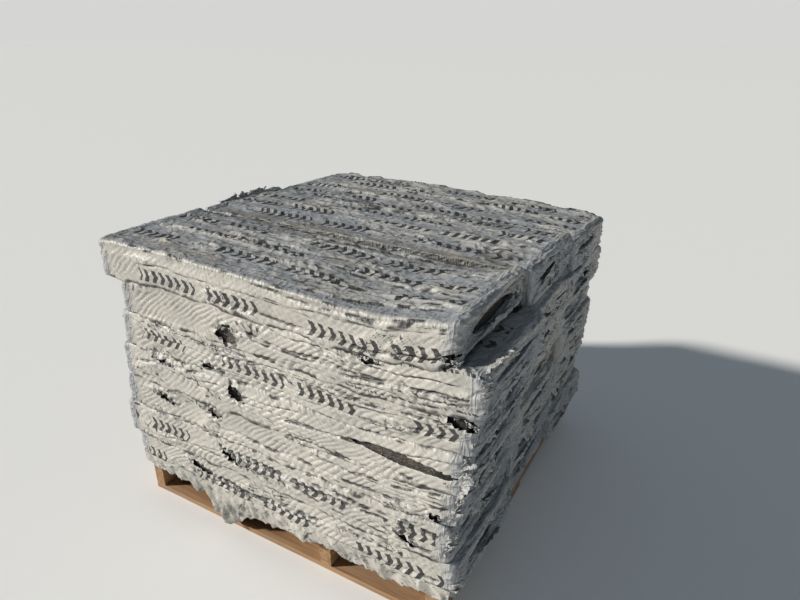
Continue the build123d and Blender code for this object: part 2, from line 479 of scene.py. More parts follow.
    def printed(self, x, s):
        """1 where the large print falls, on the top and some long faces, and 0.5 for the small print."""
        low, high = self.top
        on_front = (s > self.front[0]) & (s < self.front[1])
        above = (s > low + 0.040) & (s < high - 0.012)
        front = on_front & (s < self.front[1] - 0.020) & (self.name in FRONT_PRINT)
        back = (s > self.back[0] + 0.006) & (s < self.back[1]) & (self.name in BACK_PRINT)
        large = (above | front | back) & (np.abs(x) < self.half - 0.012)
        small = on_front & (x > 0.16) & (self.name in SMALL_PRINT)
        return np.where(small, 0.5, large.astype(float))

    def hole_gap(self, x, s):
        """Distance outside the nearest torn hole, in metres (negative inside), with its curl."""
        gap, curl = np.full(np.broadcast(x, s).shape, 1.0), np.zeros(np.broadcast(x, s).shape)
        low, high = self.back if self.row == "c" else self.front
        mirror = -1 if self.row == "c" else 1           # on the back s runs downwards
        for along, up, length, height, tilt, rise in self.holes:
            turn = mirror * math.radians(tilt)
            dx, ds = x - along, s - ((low + high) / 2 + mirror * up)
            u = dx * math.cos(turn) + ds * math.sin(turn)
            v = -dx * math.sin(turn) + ds * math.cos(turn)
            small = length < LONG_TEAR
            ragged = (0.0020 if small else 0.0002) * noise(x / 0.014, s / 0.012, self.seed + 31)
            ragged = ragged + 0.0022 * noise(x / (0.045 if small else 0.09), 0.5, self.seed + 32)
            lens = height / 2 * (1 - np.minimum(np.abs(2 * u / length), 1.2) ** 2.2)
            here = np.maximum(np.abs(v) - lens, (np.abs(u) - length / 2) * 0.9) + ragged
            curl = np.where(here < gap, rise, curl)
            gap = np.minimum(gap, here)
        return gap, curl

    def face_bulge(self, x, s, low, high):
        """How a long face swells, laps over the seam below it and fills out along its upper edge."""
        across = (s - (low + high) / 2) / ((high - low) / 2)
        swell = 0.0035 + 0.003 * noise(x / 0.30, 0.3, self.seed + 11)
        lapped = 0.70 + 1.1 * noise(x / 0.085, 3.0, self.seed + 12)
        lapped = lapped + 0.16 * noise(x / 0.02, 1.0, self.seed + 15)
        lapped = lapped * (0.3 if self.name == "1a" else 1.0)
        bulge = swell * np.clip(1 - across**2, 0, 1)
        bulge = bulge + self.size.lip_depth * bell(across + 0.90, 0.10) * np.clip(lapped, 0, 1.5)
        return bulge + 0.0028 * bell(across - 0.90, 0.09) * (0.5 + noise(x / 0.07, 5.0, self.seed + 16))

    def torn_edges(self, x, s, offset):
        """The offset with the film lifted, ruffled and crushed round its holes."""
        gap, curl = self.hole_gap(x, s)
        lifted, near = (np.exp(-np.clip(gap, 0, 1) / reach) for reach in (0.0060, 0.018))
        ruffle = 0.45 + 1.3 * noise(x / 0.013, s / 0.012, self.seed + 33)
        crushed = 0.0050 * ridged(x / 0.024, s / 0.014, self.seed + 34) - 0.0015
        crushed = np.where(curl < FLAT_CURL, 0.0008, crushed)
        return offset * (1 - 0.5 * lifted) + 1.5 * curl * lifted * ruffle + near * crushed

    def body_offset(self, x, s):
        """The whole outward offset on the body of the sleeve."""
        seen = self.exposure(x, s)
        bulge = sum(self.face_bulge(x, s, low, high) for low, high in self.long_faces)
        offset = seen * (self.wrinkles(x, s) + bulge) - (1 - seen) * 0.0012
        if self.holes:
            offset = self.torn_edges(x, s, offset)
        return np.clip(offset, -0.0050, 0.013) - self.crown(x, s)

    def body(self):
        """The straight part: places along and round it, and the points of its rings."""
        size = self.size
        fine = size.fine_step if self.row == "a" else size.back_step
        if self.on_top:
            fine = size.top_step if self.row == "a" else COARSE_TOPS * size.top_step
        if self.faces:
            xs = np.linspace(-STRAIGHT_HALF, STRAIGHT_HALF, int(2 * STRAIGHT_HALF / fine) + 1)
        else:                                           # hidden but for its ends
            tail = np.linspace(-STRAIGHT_HALF, -0.40, 12)
            xs = np.concatenate((tail, np.linspace(-0.36, 0.36, 13), -tail[::-1]))
        past = 0.050 if self.on_top else 0.012
        spans = [(max(low - past, 0), high + past) for low, high in self.faces]
        ss = stations(self.total, fine, 0.055 if self.faces else 0.022, spans)
        x, s = np.meshgrid(xs, ss, indexing="ij")
        if self.holes:
            x, s = self.snap_to_holes(x, s)
        y, z = section(self.width, self.height, self.radius, s)
        return x, s, np.stack((x, y, z), -1)

    def snap_to_holes(self, x, s):
        """Moves points beside a torn edge onto it, so the edge is a clean line of the mesh."""
        nudge = 0.0004
        for _ in range(3):
            gap, _ = self.hole_gap(x, s)
            gx = (self.hole_gap(x + nudge, s)[0] - gap) / nudge
            gs = (self.hole_gap(x, s + nudge)[0] - gap) / nudge
            steep = np.maximum(gx**2 + gs**2, 0.25)
            near = np.abs(gap) < 0.5 * self.size.fine_step
            x = np.where(near, x - 0.8 * gap * gx / steep, x)
            s = np.where(near, s - 0.8 * gap * gs / steep, s)
        return x, s

    def end_rings(self, reach, draw, count):
        """The rings of a gathered end, from the body to the rolled lip of its eye.

        Each has its place along the bundle, how far it draws in, how far it has gone over from the
        sleeve's outline to the eye's (0 to 1), and its distance along the film from the body.
        """
        flat = self.half - STRAIGHT_HALF
        rings = []
        for k in range(1, 8):                           # the straight last part
            rings.append((STRAIGHT_HALF + flat * k / 8, 0.0, 0.0, flat * k / 8))
        for k in range(7):                              # over the edge
            a = k / 6 * math.pi / 2
            inset = draw * (1 - math.cos(a))
            rings.append((self.half + reach * math.sin(a), inset, 0.0, flat + EDGE_ARC * k / 6))
        for k in range(1, count + 1):                   # across the end to the eye
            c = k / count
            rings.append((self.half + reach * (1 - 0.22 * c), draw, c, flat + EDGE_ARC + END_ARC * c))
        for c, back in ((0.97, 0.006), (0.98, 0.012)):  # the lip, rolled inwards
            rings.append((self.half + reach * 0.78 - back, draw, c, flat + LIP_ARC + back))
        return rings

    def end(self, side):
        """One gathered end: places along and round it, its points and how far each ring has gone over."""
        size, rng = self.size, self.rng
        near = self.row == "a" and side > 0
        ss = stations(self.total, size.end_step * (1 if near else COARSE_ENDS), 1, [(0, 1)])
        reach = size.end_reach * rng.uniform(0.8, 1.15)
        draw = size.end_draw * rng.uniform(0.8, 1.2)
        eye_y = size.eye_length / 2 * rng.uniform(0.8, 1.15)
        eye_z = size.eye_height / 2 * rng.uniform(0.7, 1.25)
        shift_y, shift_z, lift_low = rng.normal(0, 0.008), rng.normal(0, 0.004), 0.0
        if self.name == "7a" and side > 0:
            eye_y, eye_z, shift_y, shift_z, lift_low = GAPING_EYE
        y0, z0 = section(self.width, self.height, self.radius, ss)
        angle = self.eye_angle(ss)
        ey = eye_y * np.cos(angle) + shift_y
        ez = eye_z * np.sin(angle) * np.abs(np.sin(angle)) ** 0.35 + shift_z
        lifted = lift_low * smooth(0.0, -1.0, z0 / (self.height / 2))
        grid, place, stage = [], [], []
        for x_out, inset, c, arc in self.end_rings(reach, draw, NEAR_RINGS if near else FAR_RINGS):
            y = y0 * (1 - 2 * inset / self.width)
            z = z0 * (1 - 2 * inset / self.height) + lifted * smooth(0.455, self.half + reach, x_out)
            ease = c**0.85 if c > 0 else 0.0
            y, z = (1 - ease) * y + ease * ey, (1 - ease) * z + ease * ez
            grid.append(np.stack((np.full_like(y, x_out * side), y, z), -1))
            place.append((STRAIGHT_HALF + arc) * side)
            stage.append(c)
        grid, place, stage = (np.array(part)[::side] for part in (grid, place, stage))
        x, s = np.broadcast_arrays(place[:, None], ss[None, :])
        return x, s, grid, np.broadcast_to(stage[:, None], x.shape)

    def eye_angle(self, s):
        """Angle round the eye for each distance round the sleeve: the side faces gather at its corners."""
        f0, f1 = self.front
        t1, b1 = self.top[1], self.back[1]
        knots = [0.0, f0, (f0 + f1) / 2, f1, (f1 + t1) / 2, t1, (t1 + b1) / 2, b1, self.total]
        degrees = [-90, -152, -180, -208, -270, -332, -360, -388, -450]
        return np.radians(np.interp(s, knots, degrees))

    def end_offset(self, x, s, stage):
        """Gathers on the sides of an end, folds that run with its eye, and crumples over both."""
        beyond = smooth(self.half - 0.022, self.half + 0.006, np.abs(x))
        seed = self.seed + (51 if x.flat[0] > 0 else 77)
        bend = s + 0.012 * noise(np.abs(x) / 0.03, s / 0.08, seed)
        gather = (
            0.0040 * ridged(bend / 0.030, np.abs(x) / 0.09, seed + 1)
            + 0.0026 * ridged(bend / 0.013, np.abs(x) / 0.05, seed + 2)
        )
        past = (np.abs(x) - self.half) + 0.006 * noise(s / 0.06, x / 0.04, seed + 5)
        drawn = (
            0.0056 * ridged(past / 0.015, s / 0.30, seed + 6)
            + 0.0028 * ridged(past / 0.007, s / 0.16, seed + 7)
        )
        sides = np.zeros(np.broadcast(x, s).shape)
        for a, b in (self.front, self.back):
            sides = np.maximum(sides, smooth(a - 0.03, a + 0.01, s) * smooth(b + 0.03, b - 0.01, s))
        crumple = 0.0018 * ridged(x / 0.020, s / 0.018, seed + 4)
        shaped = sides * gather + (1 - sides) * drawn + crumple - 0.0014
        fade = 1 - 0.45 * np.clip(stage, 0, 1)
        offset = self.body_offset(x, s) * (1 - beyond) + beyond * fade * shaped
        return np.clip(offset, -0.0055, 0.012)

    def quads(self, x, s):
        """Faces of one block of rings, each closed on itself, without those inside a hole."""
        rings, around = x.shape
        i, j = np.meshgrid(np.arange(rings - 1), np.arange(around), indexing="ij")
        k = (j + 1) % around
        quads = np.stack((i * around + j, (i + 1) * around + j, (i + 1) * around + k, i * around + k), -1)
        quads = quads.reshape(-1, 4)
        if self.holes:
            cx, cs = ((p[:-1] + p[1:] + np.roll(p[:-1], -1, 1) + np.roll(p[1:], -1, 1)) / 4 for p in (x, s))
            quads = quads[self.hole_gap(cx, cs)[0].reshape(-1) > 0]
        return quads

    def joint(self, before, after, places):
        """Triangles between the last ring of one block and the first of the next, outside the holes."""
        (start_a, s_a), (start_b, s_b) = before, after
        ring_a = start_a + s_a.size - s_a.shape[1] + np.arange(s_a.shape[1])
        ring_b = start_b + np.arange(s_b.shape[1])
        faces = zip_rings(ring_a, s_a[-1], ring_b, s_b[0], self.total)
        if self.holes:
            middles = places[np.array(faces)].mean(1)
            gap, _ = self.hole_gap(middles[:, 0], middles[:, 1])
            faces = [face for face, outside in zip(faces, gap > 0) if outside]
        return faces

    def meet_middle_row(self, verts):
        """Draws out the side that faces the middle row until it meets that row."""
        if self.row == "b":
            return
        gap = abs(PLACES[self.name][0][1] - PLACES[f"{self.layer}b"][0][1]) - self.width
        inwards = 1.0 if self.row == "a" else -1.0
        verts[:, 1] += inwards * max(gap, 0) * smooth(0.02, self.width / 2, verts[:, 1] * inwards)

    def mesh(self):
        """Vertices, faces, places (x, s) and offsets of the whole sleeve, in the bundle's frame."""
        left, right, body = self.end(-1), self.end(1), self.body()
        blocks = (
            (*left[:3], self.end_offset(left[0], left[1], left[3])),
            (*body, self.body_offset(body[0], body[1])),
            (*right[:3], self.end_offset(right[0], right[1], right[3])),
        )
        verts, faces, places, offsets, rims = [], [], [], [], []
        total = 0
        for x, s, grid, offset in blocks:
            verts.append((grid + grid_normals(grid) * offset[..., None]).reshape(-1, 3))
            places.append(np.stack((x, s), -1).reshape(-1, 2))
            offsets.append(offset.reshape(-1))
            rims.append((total, s))
            faces.extend((self.quads(x, s) + total).tolist())
            total += x.size
        verts, places, offsets = (np.concatenate(parts) for parts in (verts, places, offsets))
        for before, after in zip(rims, rims[1:]):
            faces.extend(self.joint(before, after, places))
        self.meet_middle_row(verts)
        return verts, faces, places, offsets


def grid_normals(grid):
    """Outward unit normals of a grid that is closed round its second axis."""
    along = np.gradient(grid, axis=0)
    around = np.roll(grid, -1, 1) - np.roll(grid, 1, 1)
    normal = np.cross(along, around)
    size = np.linalg.norm(normal, axis=-1, keepdims=True)
    return normal / np.maximum(size, 1e-9)


def zip_rings(ring_a, s_a, ring_b, s_b, total):
    """Triangles between two closed rings that have different numbers of points."""
    faces, i, j = [], 0, 0
    n, m = len(ring_a), len(ring_b)
    while i < n or j < m:
        next_a = s_a[i + 1] if i + 1 < n else total + (0 if i < n else 1)
        next_b = s_b[j + 1] if j + 1 < m else total + (0 if j < m else 1)
        if i < n and (j >= m or next_a <= next_b):
            faces.append((ring_a[i], ring_b[j % m], ring_a[(i + 1) % n]))
            i += 1
        else:
            faces.append((ring_a[i % n], ring_b[j], ring_b[(j + 1) % m]))
            j += 1
    return [tuple(int(v) for v in f) for f in faces]


# Loose film, as grids of points in the bundle's frame


def loose_sheet(start, across, outward, lift, width, reach, folds, depth, seed, steps=(30, 12)):
    """A crumpled loose end of film: it is held at its start and folds up towards its free edge."""
    i, j = np.meshgrid(np.linspace(0, 1, steps[0]), np.linspace(0, 1, steps[1]), indexing="ij")
    start, across, outward, lift = (np.array(v, float) for v in (start, across, outward, lift))
    pleats = zigzag(i * folds + 0.9 * noise(i * 3.1, j * 1.3, seed))
    fan = (i - 0.5) * width * (1 - 0.35 * j + 0.25 * noise(i * 2, j * 3, seed + 1))
    out = reach * j * (0.80 + 0.55 * noise(i * 4.3, 0.5, seed + 2))
    up = depth * pleats * j**0.6 + 0.35 * depth * noise(i * 7, j * 5, seed + 3)
    grid = start + across * fan[..., None] + outward * out[..., None] + lift * up[..., None]
    shake = np.stack([noise(i * 9, j * 7, seed + k) for k in (4, 5, 6)], -1)
    return grid + 0.0030 * shake * np.minimum(4 * j, 1)[..., None]


def hem_sheet(size):
    """The loose hem of the lowest front sleeve, in front of the deck boards, with a pleated flap."""
    x = np.arange(HEM_AT[0], HEM_AT[-1] + 0.0001, HEM_STEP)
    hang = np.interp(x, HEM_AT, HEM_HANG) * (1 + 0.13 * noise(x / 0.035, 0.2, 501))
    hang = hang + 0.0045 * (ridged(x / 0.022, 0.4, 502) - 0.5)
    hang = np.minimum(hang, LOWEST_HANG) + 0.016
    along, down = np.meshgrid(x, np.linspace(0, 1, HEM_ROWS), indexing="ij")
    drop = down * hang[:, None]
    held = smooth(0.0, 0.018, drop)
    y = -size.sleeve_width / 2 - 0.0065 - 0.0045 * held * (0.6 + noise(along / 0.07, drop / 0.05, 503))
    y += held * 0.0078 * (ridged(along / 0.040 - 0.9 * drop / 0.040, drop / 0.075, 504) - 0.5)
    y += held * 0.0034 * (ridged(along / 0.016 - 0.6 * drop / 0.016, drop / 0.034, 505) - 0.5)
    flap = bell(along + 0.175, 0.055) * smooth(0.012, 0.060, drop)
    y += flap * (0.0130 * zigzag((along - 0.5 * drop) / 0.036) - 0.0050)
    z = -size.sleeve_height / 2 + 0.022 - drop
    return np.stack((along + 0.004 * noise(along / 0.03, down * 2, 506), y, z), -1)


def end_folds(end, half, side, rng, seed):
    """Two or three long folds of one gathered end, pressed across it."""
    folds = []
    for number in range(3):
        width, reach = rng.uniform(0.09, 0.19), rng.uniform(0.016, 0.030)
        across = (0.0, 1.0, rng.normal(0, 0.14))
        height = (-0.034, 0.036, 0.012)[number] + rng.normal(0, 0.006)
        if number == 2 and rng.random() < 0.45:
            continue
        place = rng.uniform(-1, 1) * (side - 0.02 - width / 2)
        start = (end * (half + 0.014 + rng.uniform(0, 0.004)), place, height)
        outward = (end * 0.42, rng.normal(0, 0.25), -0.85 if height > 0 else 0.55)
        folds.append(loose_sheet(
            start, across, outward, (end * 0.9, 0.2, 0.3), width, reach,
            rng.uniform(0.8, 2.4), rng.uniform(0.005, 0.010), seed + 31 * number + 7 * end, (26, 7)))
    return folds


def corner_tufts(name, half, side, seed):
    """Crumpled corners at the right of the front."""
    return [
        loose_sheet(
            (half + 0.002, -side + 0.018, height), (0.15, 0, 1), (0.62, -0.50, 0.10), (0.6, 0.6, 0.3),
            width, reach, 3.4, 0.030, seed + 13 * number, (38, 14))
        for number, (height, width, reach) in enumerate(CORNER_TUFTS.get(name, ()))
    ]


def standing_film(name, half, side, top, seed):
    """Film that stands away from the ends of three bundles near the top."""
    if name == "6a":                        # crumpled where this sleeve slid out
        return [loose_sheet(
            (half + 0.008, -side + 0.062, top - 0.006), (0.1, 1, 0), (0.62, -0.30, 0.82), (0.8, -0.6, 0.2),
            0.100, 0.056, 3.2, 0.026, seed + 5, (46, 20))]
    if name == "7b":                        # the gathered left end of the middle row
        return [
            loose_sheet(
                (-half - 0.004, place, top - 0.012), (0.1, 1, 0), (-0.35, 0, 0.86), (0.9, 0.2, 0.3),
                width, reach, 4.5, 0.020, seed + 17 * number)
            for number, (place, width, reach) in enumerate(STANDING_CRESTS)
        ]
    if name == "7a":                        # a flap behind the right eye, folded forward
        return [loose_sheet(
            (half + 0.004, side - 0.030, -0.002), (0.1, 0.25, 1), (0.75, -0.35, -0.1), (0.6, 0.7, 0),
            0.066, 0.030, 1.6, 0.012, seed)]
    return []


def torn_tongues(name, side, rng, seed):
    """Torn tongues that curl out of the smaller holes of the front row."""
    tongues = []
    for hole, along, up, length, height, tilt, _ in TEARS:
        if hole != name or name[1] != "a" or length > LONG_TEAR:
            continue
        slope = math.radians(tilt)
        for where in (-0.32, 0.30):
            start = (along + where * length * math.cos(slope), -side - 0.002,
                     up + where * length * math.sin(slope) + 0.35 * height)
            tongues.append(loose_sheet(
                start, (math.cos(slope), 0, math.sin(slope)), (0.1, -0.55, -0.5), (0.3, -0.6, 0.5),
                length * 0.5, rng.uniform(0.009, 0.016), 2.6, 0.009,
                seed + int(1000 * abs(along)) + int(where > 0), (16, 8)))
    return tongues


def loose_film(name, size, rng):
    """Every loose end of film that belongs to one sleeve."""
    half, side, top = size.shingle_length / 2, size.sleeve_width / 2, size.sleeve_height / 2
    seed = 7000 + 10 * int(name[0]) + ROWS.index(name[1])
    sheets = [hem_sheet(size)] if name == "1a" else []
    for end in (-1, 1) if name != "7a" else (-1,):      # the right end of 7a gapes instead
        sheets += end_folds(end, half, side, rng, seed)
    sheets += corner_tufts(name, half, side, seed)
    sheets += standing_film(name, half, side, top, seed)
    return sheets + torn_tongues(name, side, rng, seed)


def thin_shell(grid, wall):
    """Vertices and faces of a grid thickened to a closed sheet."""
    n, m = grid.shape[:2]
    along, across = np.gradient(grid, axis=0), np.gradient(grid, axis=1)
    normal = np.cross(along, across)
    normal /= np.maximum(np.linalg.norm(normal, axis=-1, keepdims=True), 1e-9)
    verts = np.concatenate([(grid + side * normal * wall / 2).reshape(-1, 3) for side in (1, -1)])
    i, j = np.meshgrid(np.arange(n - 1), np.arange(m - 1), indexing="ij")
    front = np.stack((i * m + j, (i + 1) * m + j, (i + 1) * m + j + 1, i * m + j + 1), -1).reshape(-1, 4)
    faces = front.tolist() + (front[:, ::-1] + n * m).tolist()
    rim = [(k, 0) for k in range(n)] + [(n - 1, k) for k in range(1, m)]
    rim += [(k, m - 1) for k in range(n - 2, -1, -1)] + [(0, k) for k in range(m - 2, 0, -1)]
    ring = [k * m + q for k, q in rim]
    for a, b in zip(ring, ring[1:] + ring[:1]):
        faces.append([b, a, a + n * m, b + n * m])
    return verts, faces


# Meshes


def add_object(name, data):
    """A new object in the scene, at the origin."""
    piece = bpy.data.objects.new(name, data)
    bpy.context.scene.collection.objects.link(piece)
    return piece


def mesh_object(name, verts, faces, material):
    """A new mesh object at the origin, smooth shaded, with one material."""
    data = bpy.data.meshes.new(name)
    data.from_pydata([tuple(v) for v in verts], [], faces)
    data.materials.append(material)
    data.shade_smooth()
    return add_object(name, data)


def points_of(data):
    """The vertices of a mesh as an array."""
    return np.array([v.co for v in data.vertices], float)


def add_uv(piece, places):
    """Stores each point's place on the flat film as the piece's UV map, in metres."""
    layer = piece.data.uv_layers.new(name="film")
    loops = np.zeros(len(piece.data.loops), np.int32)
    piece.data.loops.foreach_get("vertex_index", loops)
    layer.data.foreach_set("uv", places[loops].astype(np.float32).ravel())


def add_shade(piece, name, values):
    """Stores one number for each point, which the material reads."""
    attribute = piece.data.attributes.new(name, "FLOAT", "POINT")
    attribute.data.foreach_set("value", values.astype(np.float32))


# Materials

STROKE_PITCH = 0.0270           # distances along a printed row, in metres
DASH_PITCH = 0.0082
GROUP_PITCH = 0.52
ROW_SHIFT = 0.173               # each row starts this much further along than the one below
POINT_DEPTH = 0.055             # how far a chevron's point runs ahead, as a share of the row pitch


class Nodes:
    """Short calls that add and join the nodes of one material."""

    def __init__(self, name):
        self.material = bpy.data.materials.new(name)
        self.material.use_nodes = True
        self.tree = self.material.node_tree
        self.tree.nodes.clear()
        self.shader = self.add("ShaderNodeBsdfPrincipled")
        out = self.add("ShaderNodeOutputMaterial")
        self.link(self.shader.outputs[0], out.inputs["Surface"])

    def add(self, kind, **settings):
        """A new node with some of its settings."""
        node = self.tree.nodes.new(kind)
        for key, value in settings.items():
            setattr(node, key, value)
        return node

    def link(self, source, target):
        """Joins an output to an input."""
        self.tree.links.new(source, target)

    def put(self, target, value):
        """Joins an output to an input, or sets the input to a plain value."""
        if isinstance(value, bpy.types.NodeSocket):
            self.link(value, target)
        else:
            target.default_value = value

    def feed(self, node, **values):
        """Feeds a node's inputs, by their names with underscores for spaces, and returns the node."""
        for label, value in values.items():
            self.put(node.inputs[label.replace("_", " ")], value)
        return node

    def paint(self, **values):
        """Feeds the shader's inputs."""
        self.feed(self.shader, **values)

    def object_place(self):
        """Object coordinates."""
        return self.add("ShaderNodeTexCoord").outputs["Object"]

    def attribute(self, name, output="Fac"):
        """A value that is stored on the piece's points."""
        return self.add("ShaderNodeAttribute", attribute_name=name).outputs[output]

    def parts(self, vector):
        """The three numbers of a vector."""
        node = self.add("ShaderNodeSeparateXYZ")
        self.link(vector, node.inputs[0])
        return node.outputs

    def maths(self, operation, a, b=0.0, c=0.0, clamp=False):
        """One sum of two or three numbers."""
        node = self.add("ShaderNodeMath", operation=operation, use_clamp=clamp)
        for socket, value in zip(node.inputs, (a, b, c)):
            self.put(socket, value)
        return node.outputs[0]

    def times(self, first, *others):
        """The product of all its values."""
        for value in others:
            first = self.maths("MULTIPLY", first, value)
        return first

    def apart(self, value, middle):
        """How far a value is from a middle, without its sign."""
        return self.maths("ABSOLUTE", self.maths("SUBTRACT", value, middle))

    def steps(self, value, pitch):
        """The number of the step that a value falls in, and how far along that step it is."""
        place = self.maths("DIVIDE", value, pitch)
        number = self.maths("FLOOR", place)
        return number, self.maths("SUBTRACT", place, number)

    def chance(self, a, b):
        """A fixed random number from 0 to 1 for each pair of numbers."""
        pair = self.add("ShaderNodeCombineXYZ")
        self.link(a, pair.inputs[0])
        self.link(b, pair.inputs[1])
        node = self.add("ShaderNodeTexWhiteNoise", noise_dimensions="2D")
        self.link(pair.outputs[0], node.inputs["Vector"])
        return node.outputs["Value"]

    def noise(self, vector, scale, detail=4.0, rough=0.55, distortion=0.0):
        """Cloudy noise, from about 0 to 1."""
        node = self.feed(self.add("ShaderNodeTexNoise"), Vector=vector, Scale=scale, Detail=detail,
                         Roughness=rough, Distortion=distortion)
        return node.outputs["Fac"]

    def creased(self, vector, scale, distortion):
        """Noise folded into sharp crests, from about 0 to 1."""
        node = self.add("ShaderNodeTexNoise", noise_type="RIDGED_MULTIFRACTAL", normalize=True)
        self.feed(node, Vector=vector, Scale=scale, Detail=3.0, Roughness=0.42, Offset=0.9, Gain=1.6,
                  Distortion=distortion)
        return node.outputs["Fac"]

    def cells(self, vector, scale):
        """Cells round scattered points: the whole node, for its distance and its colour."""
        return self.feed(self.add("ShaderNodeTexVoronoi", feature="F1"), Vector=vector, Scale=scale)

    def ramp(self, value, stops):
        """A colour for each value, by stops of position and colour."""
        node = self.add("ShaderNodeValToRGB")
        self.put(node.inputs["Fac"], value)
        elements = node.color_ramp.elements
        while len(elements) < len(stops):
            elements.new(0.5)
        for element, (position, colour) in zip(elements, stops):
            element.position = position
            element.color = (*colour, 1.0)
        return node.outputs["Color"]

    def span(self, value, low, high):
        """0 below low, 1 above high and smooth between them."""
        node = self.add("ShaderNodeMapRange", interpolation_type="SMOOTHSTEP")
        return self.feed(node, Value=value, From_Min=low, From_Max=high).outputs["Result"]

    def mix(self, factor, a, b):
        """Colour a, with a share of colour b over it."""
        node = self.add("ShaderNodeMix", data_type="RGBA")
        self.put(node.inputs["Factor"], factor)
        for socket, value in ((node.inputs[6], a), (node.inputs[7], b)):
            self.put(socket, value if isinstance(value, bpy.types.NodeSocket) else (*value, 1.0))
        return node.outputs[2]

    def bump(self, height, strength, distance):
        """The normal of a surface with this height, for the shader."""
        node = self.feed(self.add("ShaderNodeBump"), Strength=strength, Distance=distance, Height=height)
        return node.outputs["Normal"]

    def scaled(self, vector, scale):
        """A place stretched by three factors."""
        return self.feed(self.add("ShaderNodeMapping"), Vector=vector, Scale=scale).outputs["Vector"]

    def turned(self, vector, angle):
        """A place on the flat film, turned by an angle."""
        node = self.feed(self.add("ShaderNodeMapping"), Vector=vector, Rotation=(0.0, 0.0, angle))
        return node.outputs["Vector"]


def film_ink(n, looks, uv):
    """A generic print, rubbed thin in places: rows of chevrons in groups, and a small dashed line."""
    u, v = n.parts(uv)[:2]
    where = n.attribute("printed")
    row, across = n.steps(v, looks.print_pitch)
    in_row = n.maths("LESS_THAN", n.apart(across, 0.5), looks.print_height / looks.print_pitch / 2)
    point = n.times(n.apart(across, 0.5), POINT_DEPTH)
    shifted = n.maths("ADD", n.maths("ADD", u, point), n.times(row, ROW_SHIFT))
    stroke, within = n.steps(shifted, STROKE_PITCH)
    thick = n.maths("LESS_THAN", within, n.maths("MULTIPLY_ADD", n.chance(stroke, row), 0.14, 0.42))
    group = n.steps(shifted, GROUP_PITCH)[1]
    in_group = n.maths("LESS_THAN", group, 0.74)
    unbroken = n.maths("GREATER_THAN", n.apart(group, 0.40), 0.035)
    chevrons = n.times(in_row, thick, in_group, unbroken, n.maths("GREATER_THAN", where, 0.75))
    near_line = n.maths("LESS_THAN", n.apart(across, 0.90), 0.035)
    dash, along = n.steps(shifted, DASH_PITCH)
    dashes = n.maths("LESS_THAN", along, n.times(n.chance(dash, row), 1.1))
    small = n.times(near_line, dashes, n.maths("COMPARE", where, 0.5, 0.2))
    scuffed = n.span(n.noise(n.scaled(uv, (1.0, 1.6, 1.0)), 120.0, 3.0, 0.6), 0.20, 0.30)
    rubbed = n.span(n.noise(uv, 9.0, 3.0, 0.6), 0.26, 0.38)
    return n.times(n.maths("MAXIMUM", chevrons, small), scuffed, rubbed)


def film_dust(n, place, upward, valley):
    """How much dust lies in the folds and on top."""
    dusty = n.span(n.noise(n.scaled(place, (1.0, 3.0, 3.0)), 6.0, 6.0, 0.7), 0.42, 0.70)
    lying = n.maths("MULTIPLY_ADD", upward, 0.62, n.times(valley, 0.30))
    return n.maths("MULTIPLY", dusty, lying, clamp=True)


def film_base(n, looks, place, fine, upward, ending):
    """The bare film, cloudy silver-grey, with painted blue-grey sky reflection on top and painted blue-grey
    shade on the ends.
    """
    cloud = n.noise(place, 5.5, 5.0, 0.6)
    base = n.ramp(cloud, ((0.25, looks.film_shade), (0.5, looks.film_colour), (0.8, looks.film_pale_and_highlight)))
    base = n.mix(n.times(n.span(fine, 0.45, 0.75), 0.35), base, looks.film_pale_and_highlight)
    # Painted blue-grey shade in patches on the ends and on the inner sides of the top row, by the ending
    # value.
    patches = n.span(n.noise(place, 3.1, 3.0, 0.5), 0.35, 0.60)
    base = n.mix(n.times(patches, ending, 0.8), base, looks.sky_reflection_and_shade)
    # Painted sky reflection: blue-grey on the faces that look up.
    return n.mix(n.times(upward, 0.82), base, looks.sky_reflection_and_shade)


def film_relief(n, looks, uv, upward, ending):
    """The finest wrinkles: slanted on the long faces, along the eye on the ends, crushed on top."""
    slanted = n.creased(n.scaled(n.turned(uv, looks.fine_slant), (0.20, 1.0, 1.0)), 95.0, 0.25)
    ended = n.creased(n.scaled(uv, (1.0, 0.16, 1.0)), 120.0, 0.20)
    crushed = n.creased(n.scaled(n.turned(uv, -looks.fine_slant), (0.55, 1.0, 1.0)), 50.0, 0.5)
    loose = n.maths("MAXIMUM", ending, upward)
    plain = n.maths("SUBTRACT", 1.0, loose)
    slanted = n.times(slanted, n.maths("MULTIPLY_ADD", plain, 0.44, 0.12))
    crushed = n.times(crushed, n.maths("MULTIPLY_ADD", loose, 0.95, 0.25))
    height = n.maths("ADD", slanted, n.times(ended, ending, 0.9))
    return n.bump(n.maths("ADD", height, crushed), looks.fine_strength, 0.0026)


